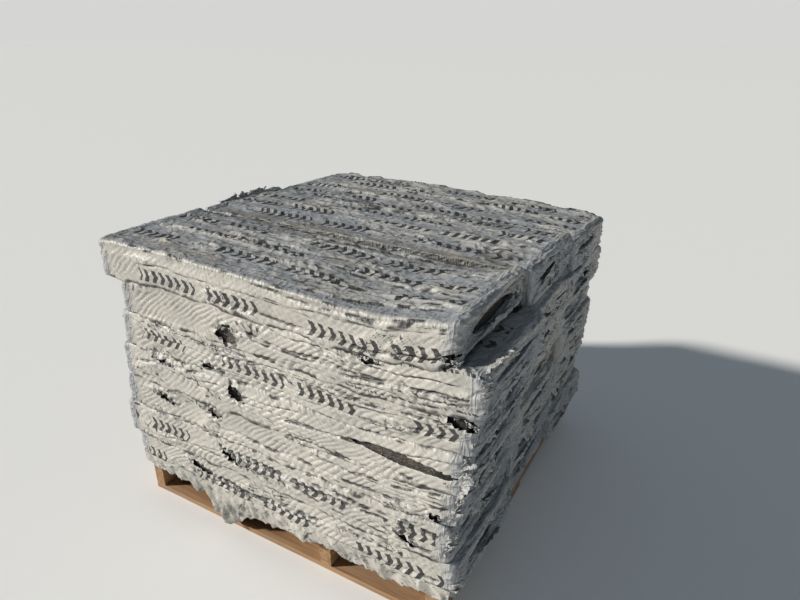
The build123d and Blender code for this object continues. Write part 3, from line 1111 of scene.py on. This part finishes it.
def film_material(looks):
    """Silver-grey polyethylene: crinkled, dusty and painted with shade in its folds, and printed with rows
    of chevrons.
    """
    n = Nodes("silver_film")
    uv = n.add("ShaderNodeUVMap", uv_map="film").outputs["UV"]
    place, fold, ending = n.object_place(), n.attribute("fold"), n.attribute("ending")
    fine = n.noise(n.scaled(uv, (1.0, 2.2, 1.0)), 48.0, 6.0, 0.65)
    facing = n.add("ShaderNodeNewGeometry").outputs["Normal"]
    upward = n.span(n.parts(facing)[2], 0.55, 0.95)
    # Painted shade, and some dust, in the valleys where the film dips below its form.
    valley = n.span(n.times(fold, -1.0), 0.0002, 0.0030)
    # Painted highlight on the crests, where the film rises above its form.
    crest = n.span(fold, 0.0020, 0.0060)
    dust = film_dust(n, place, upward, valley)
    mud = n.times(n.span(n.noise(place, 19.0, 6.0, 0.7), 0.62, 0.70), upward)
    ragged = n.span(n.noise(n.scaled(uv, (0.5, 1.0, 1.0)), 75.0, 3.0, 0.6), 0.36, 0.52)
    # Painted shade in the creases, at the seams and beside the folds, broken up raggedly.
    shade_line = n.times(n.span(n.attribute("crease"), 0.25, 0.75), n.maths("MULTIPLY_ADD", ragged, 0.45, 0.55))
    colour = film_base(n, looks, place, fine, upward, ending)
    for share, strength, over in (
        (dust, 1.0, looks.dust_colour),
        (mud, 0.55, looks.mud_colour),
        # painted shade in the wrinkle valleys
        (valley, 0.72, looks.valley_shade_colour),
        # painted highlight on the wrinkle crests
        (crest, 0.42, looks.film_pale_and_highlight),
        (film_ink(n, looks, uv), 0.94, looks.ink_colour),
        (n.attribute("worn"), 0.65, looks.torn_colour),
        # painted shade lines
        (shade_line, 0.94, looks.shade_line_colour),
    ):
        colour = n.mix(n.times(share, strength), colour, over)
    rough = n.maths("MULTIPLY_ADD", dust, 0.35, n.maths("MULTIPLY_ADD", fine, 0.20, 0.34), clamp=True)
    n.paint(Base_Color=colour, Roughness=rough, Specular_IOR_Level=0.45,
            Normal=film_relief(n, looks, uv, upward, ending))
    return n.material


def granule_material(looks):
    """Dark mineral granules bedded in asphalt, and black near the ends: bare asphalt on the cut ends and
    painted shade inside the film's eyes.
    """
    n = Nodes("mineral_granules")
    place = n.object_place()
    cells = n.cells(place, 430.0)
    chips = n.add("ShaderNodeSeparateColor")
    n.link(cells.outputs["Color"], chips.inputs[0])
    colour = n.ramp(chips.outputs[0], (
        (0.0, looks.granule_dark), (0.45, looks.granule_colour), (0.80, looks.granule_light),
        (1.0, looks.granule_bright)))
    # Black over a band towards the ends of the packs: bare asphalt on the cut ends, and painted shade on the
    # shingles inside the film's eyes.
    cut_end_and_shade = n.span(n.maths("ABSOLUTE", n.parts(place)[0]), 0.455, 0.485)
    colour = n.mix(n.times(cut_end_and_shade, 0.75), colour, looks.asphalt_and_end_shade)
    blot = n.span(n.noise(place, 16.0, 4.0, 0.6), 0.35, 0.65)
    colour = n.mix(n.times(blot, 0.35), colour, looks.granule_dark)
    domes = n.maths("SUBTRACT", 1.0, cells.outputs["Distance"])
    n.paint(Base_Color=colour, Roughness=0.88, Normal=n.bump(domes, 0.9, 0.0012))
    return n.material


def wood_material(looks):
    """Rough-sawn weathered pine. It reads the grain attribute: along, across and up each board."""
    n = Nodes("sawn_pine")
    grain = n.attribute("grain", "Vector")
    rings = n.noise(n.scaled(grain, (2.2, 46.0, 46.0)), 1.0, 6.0, 0.62, 1.4)
    fibre = n.noise(n.scaled(grain, (14.0, 420.0, 420.0)), 1.0, 4.0, 0.6)
    blotch = n.noise(n.scaled(grain, (3.0, 9.0, 9.0)), 1.0, 5.0, 0.6)
    knots = n.cells(n.scaled(grain, (4.2, 13.0, 13.0)), 1.0)
    colour = n.ramp(rings, ((0.30, looks.wood_dark), (0.48, looks.wood_colour), (0.66, looks.wood_light)))
    colour = n.mix(n.times(n.span(fibre, 0.42, 0.72), 0.30), colour, looks.wood_dark)
    colour = n.mix(n.times(n.span(blotch, 0.46, 0.72), 0.32), colour, looks.wood_grey)
    colour = n.mix(n.times(n.span(knots.outputs["Distance"], 0.17, 0.07), 0.75), colour, looks.knot_colour)
    saw = n.add("ShaderNodeTexWave", wave_type="BANDS", bands_direction="X")
    n.feed(saw, Vector=grain, Scale=55.0, Distortion=1.2, Detail=2.0)
    height = n.maths("MULTIPLY_ADD", rings, 0.8, n.times(fibre, 0.9))
    height = n.maths("MULTIPLY_ADD", saw.outputs["Fac"], 0.25, height)
    n.paint(Base_Color=colour, Roughness=n.maths("MULTIPLY_ADD", fibre, 0.16, 0.70),
            Normal=n.bump(height, 0.6, 0.0012))
    return n.material


def nail_material(looks):
    """Dull steel gone brown with rust."""
    n = Nodes("rusty_steel")
    rust = n.span(n.noise(n.object_place(), 420.0, 4.0, 0.6), 0.35, 0.62)
    n.paint(Base_Color=n.mix(rust, looks.nail_colour, looks.rust_colour),
            Roughness=n.maths("MULTIPLY_ADD", rust, 0.4, 0.45),
            Metallic=n.maths("SUBTRACT", 0.8, n.times(rust, 0.7)))
    return n.material


def floor_material(looks):
    """Plain pale floor."""
    n = Nodes("pale_floor")
    n.paint(Base_Color=(*looks.floor_colour, 1.0), Roughness=0.9, Specular_IOR_Level=0.1)
    return n.material


# Geometry nodes


class Tree:
    """A geometry node tree with named inputs, and the calls that build and run it."""

    def __init__(self, name, inputs):
        self.tree = bpy.data.node_groups.new(name, "GeometryNodeTree")
        face = self.tree.interface
        for way in ("INPUT", "OUTPUT"):
            face.new_socket("Geometry", in_out=way, socket_type="NodeSocketGeometry")
        self.names = {}
        for label, kind in inputs:
            socket = face.new_socket(label, in_out="INPUT", socket_type=f"NodeSocket{kind}")
            self.names[label] = socket.identifier
        self.start = self.tree.nodes.new("NodeGroupInput")
        self.end = self.tree.nodes.new("NodeGroupOutput")

    def add(self, kind, links=(), **settings):
        """A new node, with its inputs joined to outputs or set to plain values."""
        node = self.tree.nodes.new(kind)
        for key, value in settings.items():
            setattr(node, key, value)
        for target, source in dict(links).items():
            if isinstance(source, bpy.types.NodeSocket):
                self.tree.links.new(source, node.inputs[target])
            else:
                node.inputs[target].default_value = source
        return node

    def value(self, label):
        """One named input of the tree."""
        return self.start.outputs[label]

    def vector(self, *values):
        """Three values, or fewer, as a vector."""
        return self.add("ShaderNodeCombineXYZ", dict(enumerate(values))).outputs[0]

    def finish(self, geometry, material):
        """Ends the tree: plain geometry with its material."""
        real = self.add("GeometryNodeRealizeInstances", {0: geometry})
        painted = self.add("GeometryNodeSetMaterial", {"Geometry": real.outputs[0], "Material": material})
        self.tree.links.new(painted.outputs[0], self.end.inputs[0])

    def run(self, name, points, **values):
        """Applies the tree to a mesh of points and returns the result as a plain object."""
        data = bpy.data.meshes.new(name)
        data.from_pydata([tuple(p) for p in points], [], [])
        piece = add_object(name, data)
        modifier = piece.modifiers.new("build", "NODES")
        modifier.node_group = self.tree
        for label, value in values.items():
            modifier[self.names[label]] = value
        bpy.context.view_layer.update()
        graph = bpy.context.evaluated_depsgraph_get()
        made = bpy.data.meshes.new_from_object(piece.evaluated_get(graph))
        piece.modifiers.clear()
        piece.data = made
        made.name = name
        bpy.data.meshes.remove(data)
        return piece


def cut_outline(half, wide, counts, rng):
    """The outline of a shingle, whose edges are cut a little unevenly."""
    corners = [(-half, -wide), (half, -wide), (half, wide), (-half, wide)]
    outline = []
    for k, count in enumerate(counts):
        (x0, y0), (x1, y1) = corners[k], corners[(k + 1) % 4]
        for i in range(count):
            t = i / count
            nudge = rng.normal(0, 0.0006, 2)
            outline.append((x0 + (x1 - x0) * t + nudge[0], y0 + (y1 - y0) * t + nudge[1]))
    return outline


def cut_shingle(size, rng):
    """One shingle as a flat slab."""
    long, short = 12, 4                 # points along its long and its short edges
    thick = size.shingle_thickness * 0.46
    half, wide = size.shingle_length / 2, size.shingle_width / 2 - 0.002
    outline = cut_outline(half, wide, (long, short, long, short), rng)
    m = len(outline)
    verts = [(x, y, -thick) for x, y in outline] + [(x, y, thick) for x, y in outline]
    faces = [(i, (i + 1) % m, m + (i + 1) % m, m + i) for i in range(m)]
    for i in range(long):               # strips from the front edge to the back edge
        j = 2 * long + short - i
        faces += [(j, j - 1, i + 1, i), (m + i, m + i + 1, m + j - 1, m + j)]
    for k in (long, m - short):         # the two ends, where the outline turns
        ring = [(k + i) % m for i in range(short + 1)]
        faces += [tuple(ring[::-1]), tuple(m + i for i in ring)]
    data = bpy.data.meshes.new("cut_shingle")
    data.from_pydata(verts, [], faces)
    return add_object("cut_shingle", data)


def stack_tree(slab, material):
    """Stacks copies of a slab over each point, each one slipped a little."""
    t = Tree("slab_stack", (("Count", "Int"), ("Pitch", "Float"), ("Slip", "Float"), ("Seed", "Int")))
    rise = t.add("ShaderNodeCombineXYZ", {2: t.value("Pitch")})
    line = t.add("GeometryNodeMeshLine", {"Count": t.value("Count"), "Offset": rise.outputs[0]})
    source = t.add("GeometryNodeObjectInfo", {"Object": slab}, transform_space="ORIGINAL")
    slip = t.value("Slip")
    back = t.add("ShaderNodeMath", {0: slip, 1: -1.0}, operation="MULTIPLY").outputs[0]
    random = t.add(
        "FunctionNodeRandomValue",
        {"Min": t.vector(back, back), "Max": t.vector(slip, slip), "Seed": t.value("Seed")},
        data_type="FLOAT_VECTOR")
    moved = t.add("GeometryNodeSetPosition", {"Geometry": line.outputs[0], "Offset": random.outputs[0]})
    copies = t.add("GeometryNodeInstanceOnPoints", {
        "Points": moved.outputs[0], "Instance": source.outputs["Geometry"]})
    t.finish(copies.outputs[0], material)
    return t


def board_tree(material):
    """A sawn board: a divided block whose faces wander a little."""
    labels = ("Length", "Width", "Thickness", "Waver", "Seed")
    t = Tree("sawn_board", [(label, "Float") for label in labels])
    block = t.add("GeometryNodeMeshCube", {
        "Size": t.vector(t.value("Length"), t.value("Width"), t.value("Thickness")),
        "Vertices X": 34, "Vertices Y": 5, "Vertices Z": 3})
    place = t.add("GeometryNodeInputPosition")
    texture = t.add(
        "ShaderNodeTexNoise",
        {"Vector": place.outputs[0], "W": t.value("Seed"), "Scale": 11.0, "Detail": 3.0},
        noise_dimensions="4D")
    centred = t.add(
        "ShaderNodeVectorMath", {0: texture.outputs["Color"], 1: (0.5, 0.5, 0.5)}, operation="SUBTRACT")
    scaled = t.add(
        "ShaderNodeVectorMath", {0: centred.outputs[0], "Scale": t.value("Waver")}, operation="SCALE")
    moved = t.add("GeometryNodeSetPosition", {"Geometry": block.outputs[0], "Offset": scaled.outputs[0]})
    t.finish(moved.outputs[0], material)
    return t


def nail_tree(material):
    """A low round nail head on each point, turned to its own angle."""
    t = Tree("nail_heads", (("Radius", "Float"), ("Rise", "Float"), ("Seed", "Int")))
    top = t.add("ShaderNodeMath", {0: t.value("Radius"), 1: 0.72}, operation="MULTIPLY")
    head = t.add("GeometryNodeMeshCone", {
        "Vertices": 14, "Side Segments": 1, "Fill Segments": 1, "Radius Top": top.outputs[0],
        "Radius Bottom": t.value("Radius"), "Depth": t.value("Rise")})
    tilt = t.add(
        "FunctionNodeRandomValue",
        {"Min": (-0.12, -0.12, 0.0), "Max": (0.12, 0.12, 6.28), "Seed": t.value("Seed")},
        data_type="FLOAT_VECTOR")
    copies = t.add("GeometryNodeInstanceOnPoints", {
        "Points": t.start.outputs[0], "Instance": head.outputs[0], "Rotation": tilt.outputs[0]})
    t.finish(copies.outputs[0], material)
    return t


# Settings


def node_size(node):
    """Sizes of a node's box, to a tenth of a millimetre."""
    low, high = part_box(node)
    return [round(high[k] - low[k], 4) for k in range(3)]


PACK_LENGTH, PACK_WIDTH, _ = node_size("shingles_1b")


def length_setting(name, description, default):
    """A length in metres that the user can change."""
    return bpy.props.FloatProperty(name=name, description=description, default=default, unit="LENGTH")


def share_setting(name, description, default):
    """A share that the user can change."""
    return bpy.props.FloatProperty(name=name, description=description, default=default, subtype="FACTOR")


def colour_setting(name, description, default):
    """A colour that the user can change."""
    return bpy.props.FloatVectorProperty(
        name=name, description=description, default=default, size=3, subtype="COLOR", min=0.0, max=1.0)


class ShingleSizes(bpy.types.PropertyGroup):
    """Sizes of the bundles and of their film."""

    shingle_length: length_setting("Shingle length", "Length of a shingle", PACK_LENGTH)
    shingle_width: length_setting("Shingle width", "Width of a shingle", PACK_WIDTH)
    shingle_thickness: length_setting("Shingle thickness", "Thickness of one shingle", 0.0043)
    shingles: bpy.props.IntProperty(name="Shingles", description="Shingles in a bundle", default=22)
    slip: length_setting("Slip", "How far a shingle slips in its bundle", 0.0016)
    top_press: share_setting("Top press", "Height that is left of a top pack under its sloping film", 0.81)
    sleeve_width: length_setting("Sleeve width", "Width over the film", 0.3402)
    sleeve_height: length_setting("Sleeve height", "Height over the film", 0.0984)
    edge_radius: length_setting("Edge radius", "Round of the sleeve's long edges", 0.009)
    loose_wall: length_setting("Loose wall", "Thickness of the loose film", 0.0006)
    lip_depth: length_setting("Lip depth", "How far the film laps over the seam below it", 0.0080)
    end_reach: length_setting("End reach", "How far the gathered film stands past the shingles", 0.018)
    end_draw: length_setting("End draw", "How far the gathered end draws in", 0.010)
    eye_length: length_setting("Eye length", "Length of the opening in each end", 0.215)
    eye_height: length_setting("Eye height", "Height of the opening in each end", 0.036)
    wrinkle_pitch: length_setting("Wrinkle pitch", "Distance between slanted wrinkles", 0.0130)
    wrinkle_depth: length_setting("Wrinkle depth", "Depth of the slanted wrinkles", 0.0026)
    wrinkle_slant: bpy.props.FloatProperty(
        name="Wrinkle slant", description="Slant of the wrinkles, in degrees", default=38.0)
    crinkle_pitch: length_setting("Crinkle pitch", "Distance between the crinkles on top", 0.0105)
    crinkle_depth: length_setting("Crinkle depth", "Depth of the crinkles on top", 0.0027)
    crumple_depth: share_setting("Crumple depth", "Share of the full depth of the crumples", 1.0)
    fine_step: length_setting("Front step", "Mesh step on the front of the load", 0.0028)
    back_step: length_setting("Back step", "Mesh step on the back of the load", 0.0056)
    top_step: length_setting("Top step", "Mesh step on the top of the load", 0.0039)
    end_step: length_setting("End step", "Mesh step on the gathered ends", 0.0042)
    seed: bpy.props.IntProperty(name="Seed", description="Fixes every random choice", default=41)


class ShingleLooks(bpy.types.PropertyGroup):
    """Colours of the film, the shingles, the wood and the floor, and the print, some of them painted light
    and shade.
    """

    film_colour: colour_setting("Film", "Silver-grey film", (0.475, 0.455, 0.405))
    # Pale film for the cloudy tone, and the painted highlight on the wrinkle crests.
    film_pale_and_highlight: colour_setting("Film, light", "Film on its crests", (0.56, 0.54, 0.485))
    film_shade: colour_setting("Film, dark", "Film in its folds", (0.33, 0.325, 0.30))
    # Painted light: blue-grey sky reflection on top and blue-grey shade on the ends.
    sky_reflection_and_shade: colour_setting("Film, cool", "Blue-grey film on top and on the ends", (0.255, 0.280, 0.312))
    # Painted shade in the valleys between the wrinkles.
    valley_shade_colour: colour_setting("Folds", "Dusty valleys between the wrinkles", (0.16, 0.157, 0.148))
    # Painted shade in the creases, at the seams and beside the lapped folds.
    shade_line_colour: colour_setting("Slits", "Dark slits beside the folds", (0.024, 0.023, 0.022))
    torn_colour: colour_setting("Torn film", "Pale edge of torn film", (0.60, 0.59, 0.55))
    dust_colour: colour_setting("Dust", "Dry dust on the film", (0.235, 0.205, 0.165))
    mud_colour: colour_setting("Mud", "Brown spots", (0.12, 0.07, 0.045))
    ink_colour: colour_setting("Ink", "Black print", (0.022, 0.022, 0.024))
    granule_colour: colour_setting("Granules", "Main granules", (0.085, 0.075, 0.065))
    granule_dark: colour_setting("Granules, dark", "Dark granules", (0.030, 0.028, 0.027))
    granule_light: colour_setting("Granules, light", "Light granules", (0.17, 0.145, 0.12))
    granule_bright: colour_setting("Granules, bright", "The few brightest granules", (0.30, 0.27, 0.24))
    # Bare asphalt, also painted as shade towards the ends of the packs inside the film's eyes.
    asphalt_and_end_shade: colour_setting("Asphalt", "Cut ends of the shingles", (0.014, 0.013, 0.013))
    wood_colour: colour_setting("Wood", "Pine", (0.335, 0.188, 0.088))
    wood_light: colour_setting("Wood, light", "Early wood", (0.46, 0.285, 0.145))
    wood_dark: colour_setting("Wood, dark", "Late wood", (0.165, 0.082, 0.037))
    wood_grey: colour_setting("Wood, grey", "Weathered wood", (0.27, 0.23, 0.185))
    knot_colour: colour_setting("Knots", "Knots", (0.11, 0.055, 0.028))
    nail_colour: colour_setting("Nails", "Nail steel", (0.30, 0.29, 0.28))
    rust_colour: colour_setting("Rust", "Rust on the nails", (0.16, 0.065, 0.03))
    floor_colour: colour_setting("Floor", "Studio floor", (0.86, 0.86, 0.85))
    fine_slant: bpy.props.FloatProperty(
        name="Fine slant", description="Direction of the finest wrinkles", default=0.62, subtype="ANGLE")
    fine_strength: share_setting("Fine strength", "Strength of the finest wrinkles", 0.85)
    print_pitch: length_setting("Print pitch", "Distance between printed rows", 0.080)
    print_height: length_setting("Print height", "Height of a printed row", 0.034)


# Pieces


def hand_over(piece, slot, *nodes):
    """Tells the frame that a piece rides on its root and which nodes it replaces. The slot, for what the
    piece is made of, is not used.
    """
    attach(piece, "root")
    if nodes:
        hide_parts(*nodes)


def sleeve_parts(name, size, rng):
    """The parts of one sleeve, the body and every loose sheet: vertices, faces, places and shade values."""
    sleeve = Sleeve(name, size, rng)
    verts, faces, places, offset = sleeve.mesh()
    x, s = places.T
    near_end = smooth(sleeve.half - 0.030, sleeve.half + 0.004, np.abs(x))
    yield verts, faces, places, {
        "fold": offset,
        "printed": sleeve.printed(x, s),
        # crease: painted shade lines in the creases, at the seams and beside the folds
        "crease": sleeve.crease_shade_lines(x, s),
        "worn": smooth(0.006, 0.0, sleeve.hole_gap(x, s)[0]),
        # ending: the ends and the inner sides of the top row, which take painted blue-grey shade and the end
        # relief
        "ending": np.maximum(near_end, 0.9 * sleeve.inner_side(s)),
    }
    for grid in loose_film(name, size, rng):
        verts, faces = thin_shell(grid, size.loose_wall)
        on_hem = name == "1a" and grid.shape[1] == HEM_ROWS
        flat = verts[:, (0, 2)] if on_hem else verts[:, (0, 2)] * 1.3 + verts[:, (1, 1)] * 0.6
        lines = np.abs(noise((flat[:, 0] + 0.7 * flat[:, 1]) / 0.034, flat[:, 1] / 0.017, 507))
        yield verts, faces, flat, {
            "fold": np.zeros(len(verts)),
            "printed": np.zeros(len(verts)),
            # painted shade lines in the creases of the hem
            "crease": 0.62 * smooth(0.16, 0.04, lines) * on_hem,
            "worn": np.full(len(verts), 0.0 if on_hem else 0.35),
            # all loose film but the hem takes some painted blue-grey shade
            "ending": np.full(len(verts), 0.0 if name == "1a" else 0.6),
        }


class SHINGLES_OT_film_sleeves(bpy.types.Operator):
    """Builds the film sleeve of every bundle, with its wrinkles, gathered ends and torn holes"""

    bl_idname = "shingles.film_sleeves"
    bl_label = "Film sleeves"

    def execute(self, context):
        size = context.scene.shingle_sizes
        material = film_material(context.scene.shingle_looks)
        for name in PLACES:
            rng = np.random.default_rng(size.seed * 1000 + 10 * int(name[0]) + ROWS.index(name[1]))
            parts = list(sleeve_parts(name, size, rng))
            faces, total = [], 0
            for verts, part_faces, _, _ in parts:
                faces += [[v + total for v in face] for face in part_faces]
                total += len(verts)
            verts, places = (np.concatenate([part[k] for part in parts]) for k in (0, 2))
            piece = mesh_object(f"film_sleeve_{name}", place_points(verts, name), faces, material)
            shift = PRINT_SHIFTS[name] if name in PRINT_SHIFTS else rng.uniform(0, 0.5, 2)
            add_uv(piece, places + np.array(shift))
            for label in parts[0][3]:
                add_shade(piece, label, np.concatenate([part[3][label] for part in parts]))
            hand_over(piece, "film", f"sleeve_{name}")
        return {"FINISHED"}


class SHINGLES_OT_shingle_packs(bpy.types.Operator):
    """Stacks the shingles of every bundle"""

    bl_idname = "shingles.shingle_packs"
    bl_label = "Shingle packs"

    def execute(self, context):
        size = context.scene.shingle_sizes
        material = granule_material(context.scene.shingle_looks)
        slab = cut_shingle(size, np.random.default_rng(size.seed))
        tree = stack_tree(slab, material)
        verts, faces, total = [], [], 0
        for number, name in enumerate(PLACES):
            stack = tree.run(f"stack_{name}", [(0, 0, 0)], Count=size.shingles, Pitch=size.shingle_thickness,
                             Slip=size.slip, Seed=size.seed + number)
            points = points_of(stack.data)
            if not len(points):
                raise RuntimeError("the slab stack came out empty")
            points[:, 2] -= (size.shingles - 1) * size.shingle_thickness / 2
            if int(name[0]) == LAYERS:          # the film of the top bundles slopes down to their edges
                floor = points[:, 2].min()
                points[:, 2] = floor + (points[:, 2] - floor) * size.top_press
            faces += [tuple(total + i for i in p.vertices) for p in stack.data.polygons]
            verts.append(place_points(points, name))
            total += len(points)
            bpy.data.objects.remove(stack)
        piece = mesh_object("shingle_packs", np.concatenate(verts), faces, material)
        piece.data.shade_flat()
        bpy.data.objects.remove(slab)
        hand_over(piece, "shingles", *(f"shingles_{name}" for name in PLACES))
        return {"FINISHED"}


LENGTH_TRIM, THICKNESS_TRIM = 0.0015, 0.0012    # room for the waver of the sawn faces
SAW_WAVER = 0.0022


def sawn_board(node, number, tree):
    """One board or stringer in its node's place, with its grain along its length."""
    low, high = (np.array(corner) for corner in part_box(node))
    span = high - low
    crosswise = node.startswith("stringer")
    length, width = (span[1], span[0]) if crosswise else (span[0], span[1])
    piece = tree.run(f"pine_{node}", [(0, 0, 0)], Length=length - LENGTH_TRIM, Width=width - LENGTH_TRIM,
                     Thickness=span[2] - THICKNESS_TRIM, Waver=SAW_WAVER, Seed=float(number))
    data = piece.data
    points = points_of(data)
    shift = np.random.default_rng(number + 5).uniform(-4, 4, 3)
    grain = data.attributes.new("grain", "FLOAT_VECTOR", "POINT")
    grain.data.foreach_set("vector", (points + shift).astype(np.float32).ravel())
    if crosswise:
        points = np.stack((-points[:, 1], points[:, 0], points[:, 2]), -1)
    data.vertices.foreach_set("co", (points + (low + high) / 2).astype(np.float32).ravel())
    data.update()
    bevel = piece.modifiers.new("worn_edges", "BEVEL")
    bevel.width, bevel.segments, bevel.limit_method = 0.0016, 2, "ANGLE"
    bevel.angle_limit = math.radians(50)
    return piece


class SHINGLES_OT_pallet_boards(bpy.types.Operator):
    """Builds the pallet's boards and stringers of sawn pine"""

    bl_idname = "shingles.pallet_boards"
    bl_label = "Pallet boards"

    def execute(self, context):
        tree = board_tree(wood_material(context.scene.shingle_looks))
        names = [n for n in sorted(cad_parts) if "board" in n or "stringer" in n]
        for number, node in enumerate(names):
            hand_over(sawn_board(node, number, tree), "pallet_wood", node)
        return {"FINISHED"}


NAIL_RADIUS, NAIL_RISE, NAIL_SINK = 0.0038, 0.0010, 0.0006
WIDE_BOARD = 0.1                # a board wider than this takes three nails at each stringer, others two


def nail_places(rng):
    """A point for each nail, where the boards cross the stringers."""
    stringers = [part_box(n) for n in sorted(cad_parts) if n.startswith("stringer")]
    points = []
    for node in sorted(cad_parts):
        if "board" not in node:
            continue
        low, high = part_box(node)
        face = high.z - NAIL_SINK if node.startswith("deck") else low.z + NAIL_SINK
        count = 3 if high.y - low.y > WIDE_BOARD else 2
        for left, right in stringers:
            for k in range(count):
                y = low.y + (high.y - low.y) * (k + 0.5) / count + rng.normal(0, 0.004)
                points.append(((left.x + right.x) / 2 + rng.normal(0, 0.005), y, face))
    return points


class SHINGLES_OT_pallet_nails(bpy.types.Operator):
    """Drives nails where the boards cross the stringers"""

    bl_idname = "shingles.pallet_nails"
    bl_label = "Pallet nails"

    def execute(self, context):
        points = nail_places(np.random.default_rng(context.scene.shingle_sizes.seed))
        tree = nail_tree(nail_material(context.scene.shingle_looks))
        piece = tree.run("pallet_nails", points, Radius=NAIL_RADIUS, Rise=NAIL_RISE, Seed=3)
        piece.data.shade_flat()
        hand_over(piece, "pallet_wood")
        return {"FINISHED"}


# Studio

FLOOR_REACH, FLOOR_LEVEL = 120.0, -0.0006
SEEN_COLOUR = (0.665, 0.670, 0.655, 1)      # the background, which matches the floor
LIT_COLOUR, LIT_STRENGTH = (0.74, 0.87, 1.0, 1), 0.19
LAMPS = (                                   # name, direction towards it, spread in degrees, strength, colour
    ("key", (-0.74, -0.50, 0.46), 4.0, 4.35, (1.0, 0.955, 0.89)),
    ("fill", (0.80, -0.20, 0.60), 60.0, 0.14, (0.76, 0.88, 1.0)),
)
CAMERA_PLACE = (0.920, -1.452, 1.292)
YAW, PITCH, ROLL = math.radians(29.74), math.radians(23.33), math.radians(-0.31)
FOCAL_PIXELS, PICTURE_WIDTH = 613.5, 800
SENSOR_WIDTH = 36.0


def add_world(scene):
    """Soft blue-grey light all round, behind which the camera sees a pale background."""
    world = bpy.data.worlds.new("studio_world")
    scene.world = world
    world.use_nodes = True
    tree = world.node_tree
    tree.nodes.clear()
    out, mix, path, seen, lit = (tree.nodes.new(f"ShaderNode{kind}") for kind in (
        "OutputWorld", "MixShader", "LightPath", "Background", "Background"))
    seen.inputs["Color"].default_value = SEEN_COLOUR
    lit.inputs["Color"].default_value = LIT_COLOUR
    lit.inputs["Strength"].default_value = LIT_STRENGTH
    tree.links.new(path.outputs["Is Camera Ray"], mix.inputs[0])
    tree.links.new(lit.outputs[0], mix.inputs[1])
    tree.links.new(seen.outputs[0], mix.inputs[2])
    tree.links.new(mix.outputs[0], out.inputs["Surface"])


def add_lamps():
    """A key light from the left of the front and a weak wide fill from the right."""
    for name, towards, spread, power, colour in LAMPS:
        light = bpy.data.lights.new(name, "SUN")
        light.angle, light.energy, light.color = math.radians(spread), power, colour
        lamp = add_object(name, light)
        lamp.rotation_mode = "QUATERNION"
        lamp.rotation_quaternion = Vector(towards).to_track_quat("Z", "Y")


def add_camera(scene):
    """The camera at the photograph's viewing angle."""
    camera = bpy.data.cameras.new("camera")
    camera.sensor_width, camera.lens = SENSOR_WIDTH, SENSOR_WIDTH * FOCAL_PIXELS / PICTURE_WIDTH
    eye = add_object("camera", camera)
    ahead = Vector((-math.sin(YAW) * math.cos(PITCH), math.cos(YAW) * math.cos(PITCH), -math.sin(PITCH)))
    right = Vector((math.cos(YAW), math.sin(YAW), 0))
    down = ahead.cross(right)
    turned = right * math.cos(ROLL) + down * math.sin(ROLL)
    up = right * math.sin(ROLL) - down * math.cos(ROLL)
    axes = Matrix((turned, up, -ahead)).transposed().to_4x4()
    eye.matrix_world = Matrix.Translation(CAMERA_PLACE) @ axes
    scene.camera = eye


class SHINGLES_OT_studio(bpy.types.Operator):
    """Sets the floor, the lights, the background and the camera"""

    bl_idname = "shingles.studio"
    bl_label = "Studio"

    def execute(self, context):
        scene = context.scene
        far = FLOOR_REACH
        corners = [(x, y, FLOOR_LEVEL) for x, y in ((-far, -far), (far, -far), (far, far), (-far, far))]
        mesh_object("studio_floor", corners, [(0, 1, 2, 3)], floor_material(scene.shingle_looks))
        add_world(scene)
        add_lamps()
        add_camera(scene)
        scene.view_settings.view_transform = "Standard"
        return {"FINISHED"}


# The add-on


class SHINGLES_PT_panel(bpy.types.Panel):
    """Lists the steps and their settings in the sidebar"""

    bl_idname = "SHINGLES_PT_panel"
    bl_label = "Shingle pallet"
    bl_space_type = "VIEW_3D"
    bl_region_type = "UI"
    bl_category = "Shingles"

    def draw(self, context):
        for step in STEPS:
            self.layout.operator(step.bl_idname)
        for group in (context.scene.shingle_sizes, context.scene.shingle_looks):
            for name in group.bl_rna.properties.keys():
                if name not in ("rna_type", "name"):
                    self.layout.prop(group, name)


STEPS = (
    SHINGLES_OT_shingle_packs,
    SHINGLES_OT_film_sleeves,
    SHINGLES_OT_pallet_boards,
    SHINGLES_OT_pallet_nails,
    SHINGLES_OT_studio,
)
CLASSES = (ShingleSizes, ShingleLooks, *STEPS, SHINGLES_PT_panel)


def register():
    """Adds the classes and gives the scene its settings."""
    for item in CLASSES:
        bpy.utils.register_class(item)
    bpy.types.Scene.shingle_sizes = bpy.props.PointerProperty(type=ShingleSizes)
    bpy.types.Scene.shingle_looks = bpy.props.PointerProperty(type=ShingleLooks)


def unregister():
    """Takes the settings and the classes away again."""
    del bpy.types.Scene.shingle_looks
    del bpy.types.Scene.shingle_sizes
    for item in reversed(CLASSES):
        bpy.utils.unregister_class(item)


def main():
    """Runs every step."""
    register()
    for step in STEPS:
        group, call = step.bl_idname.split(".")
        getattr(getattr(bpy.ops, group), call)()


if __name__ == "__main__":
    main()
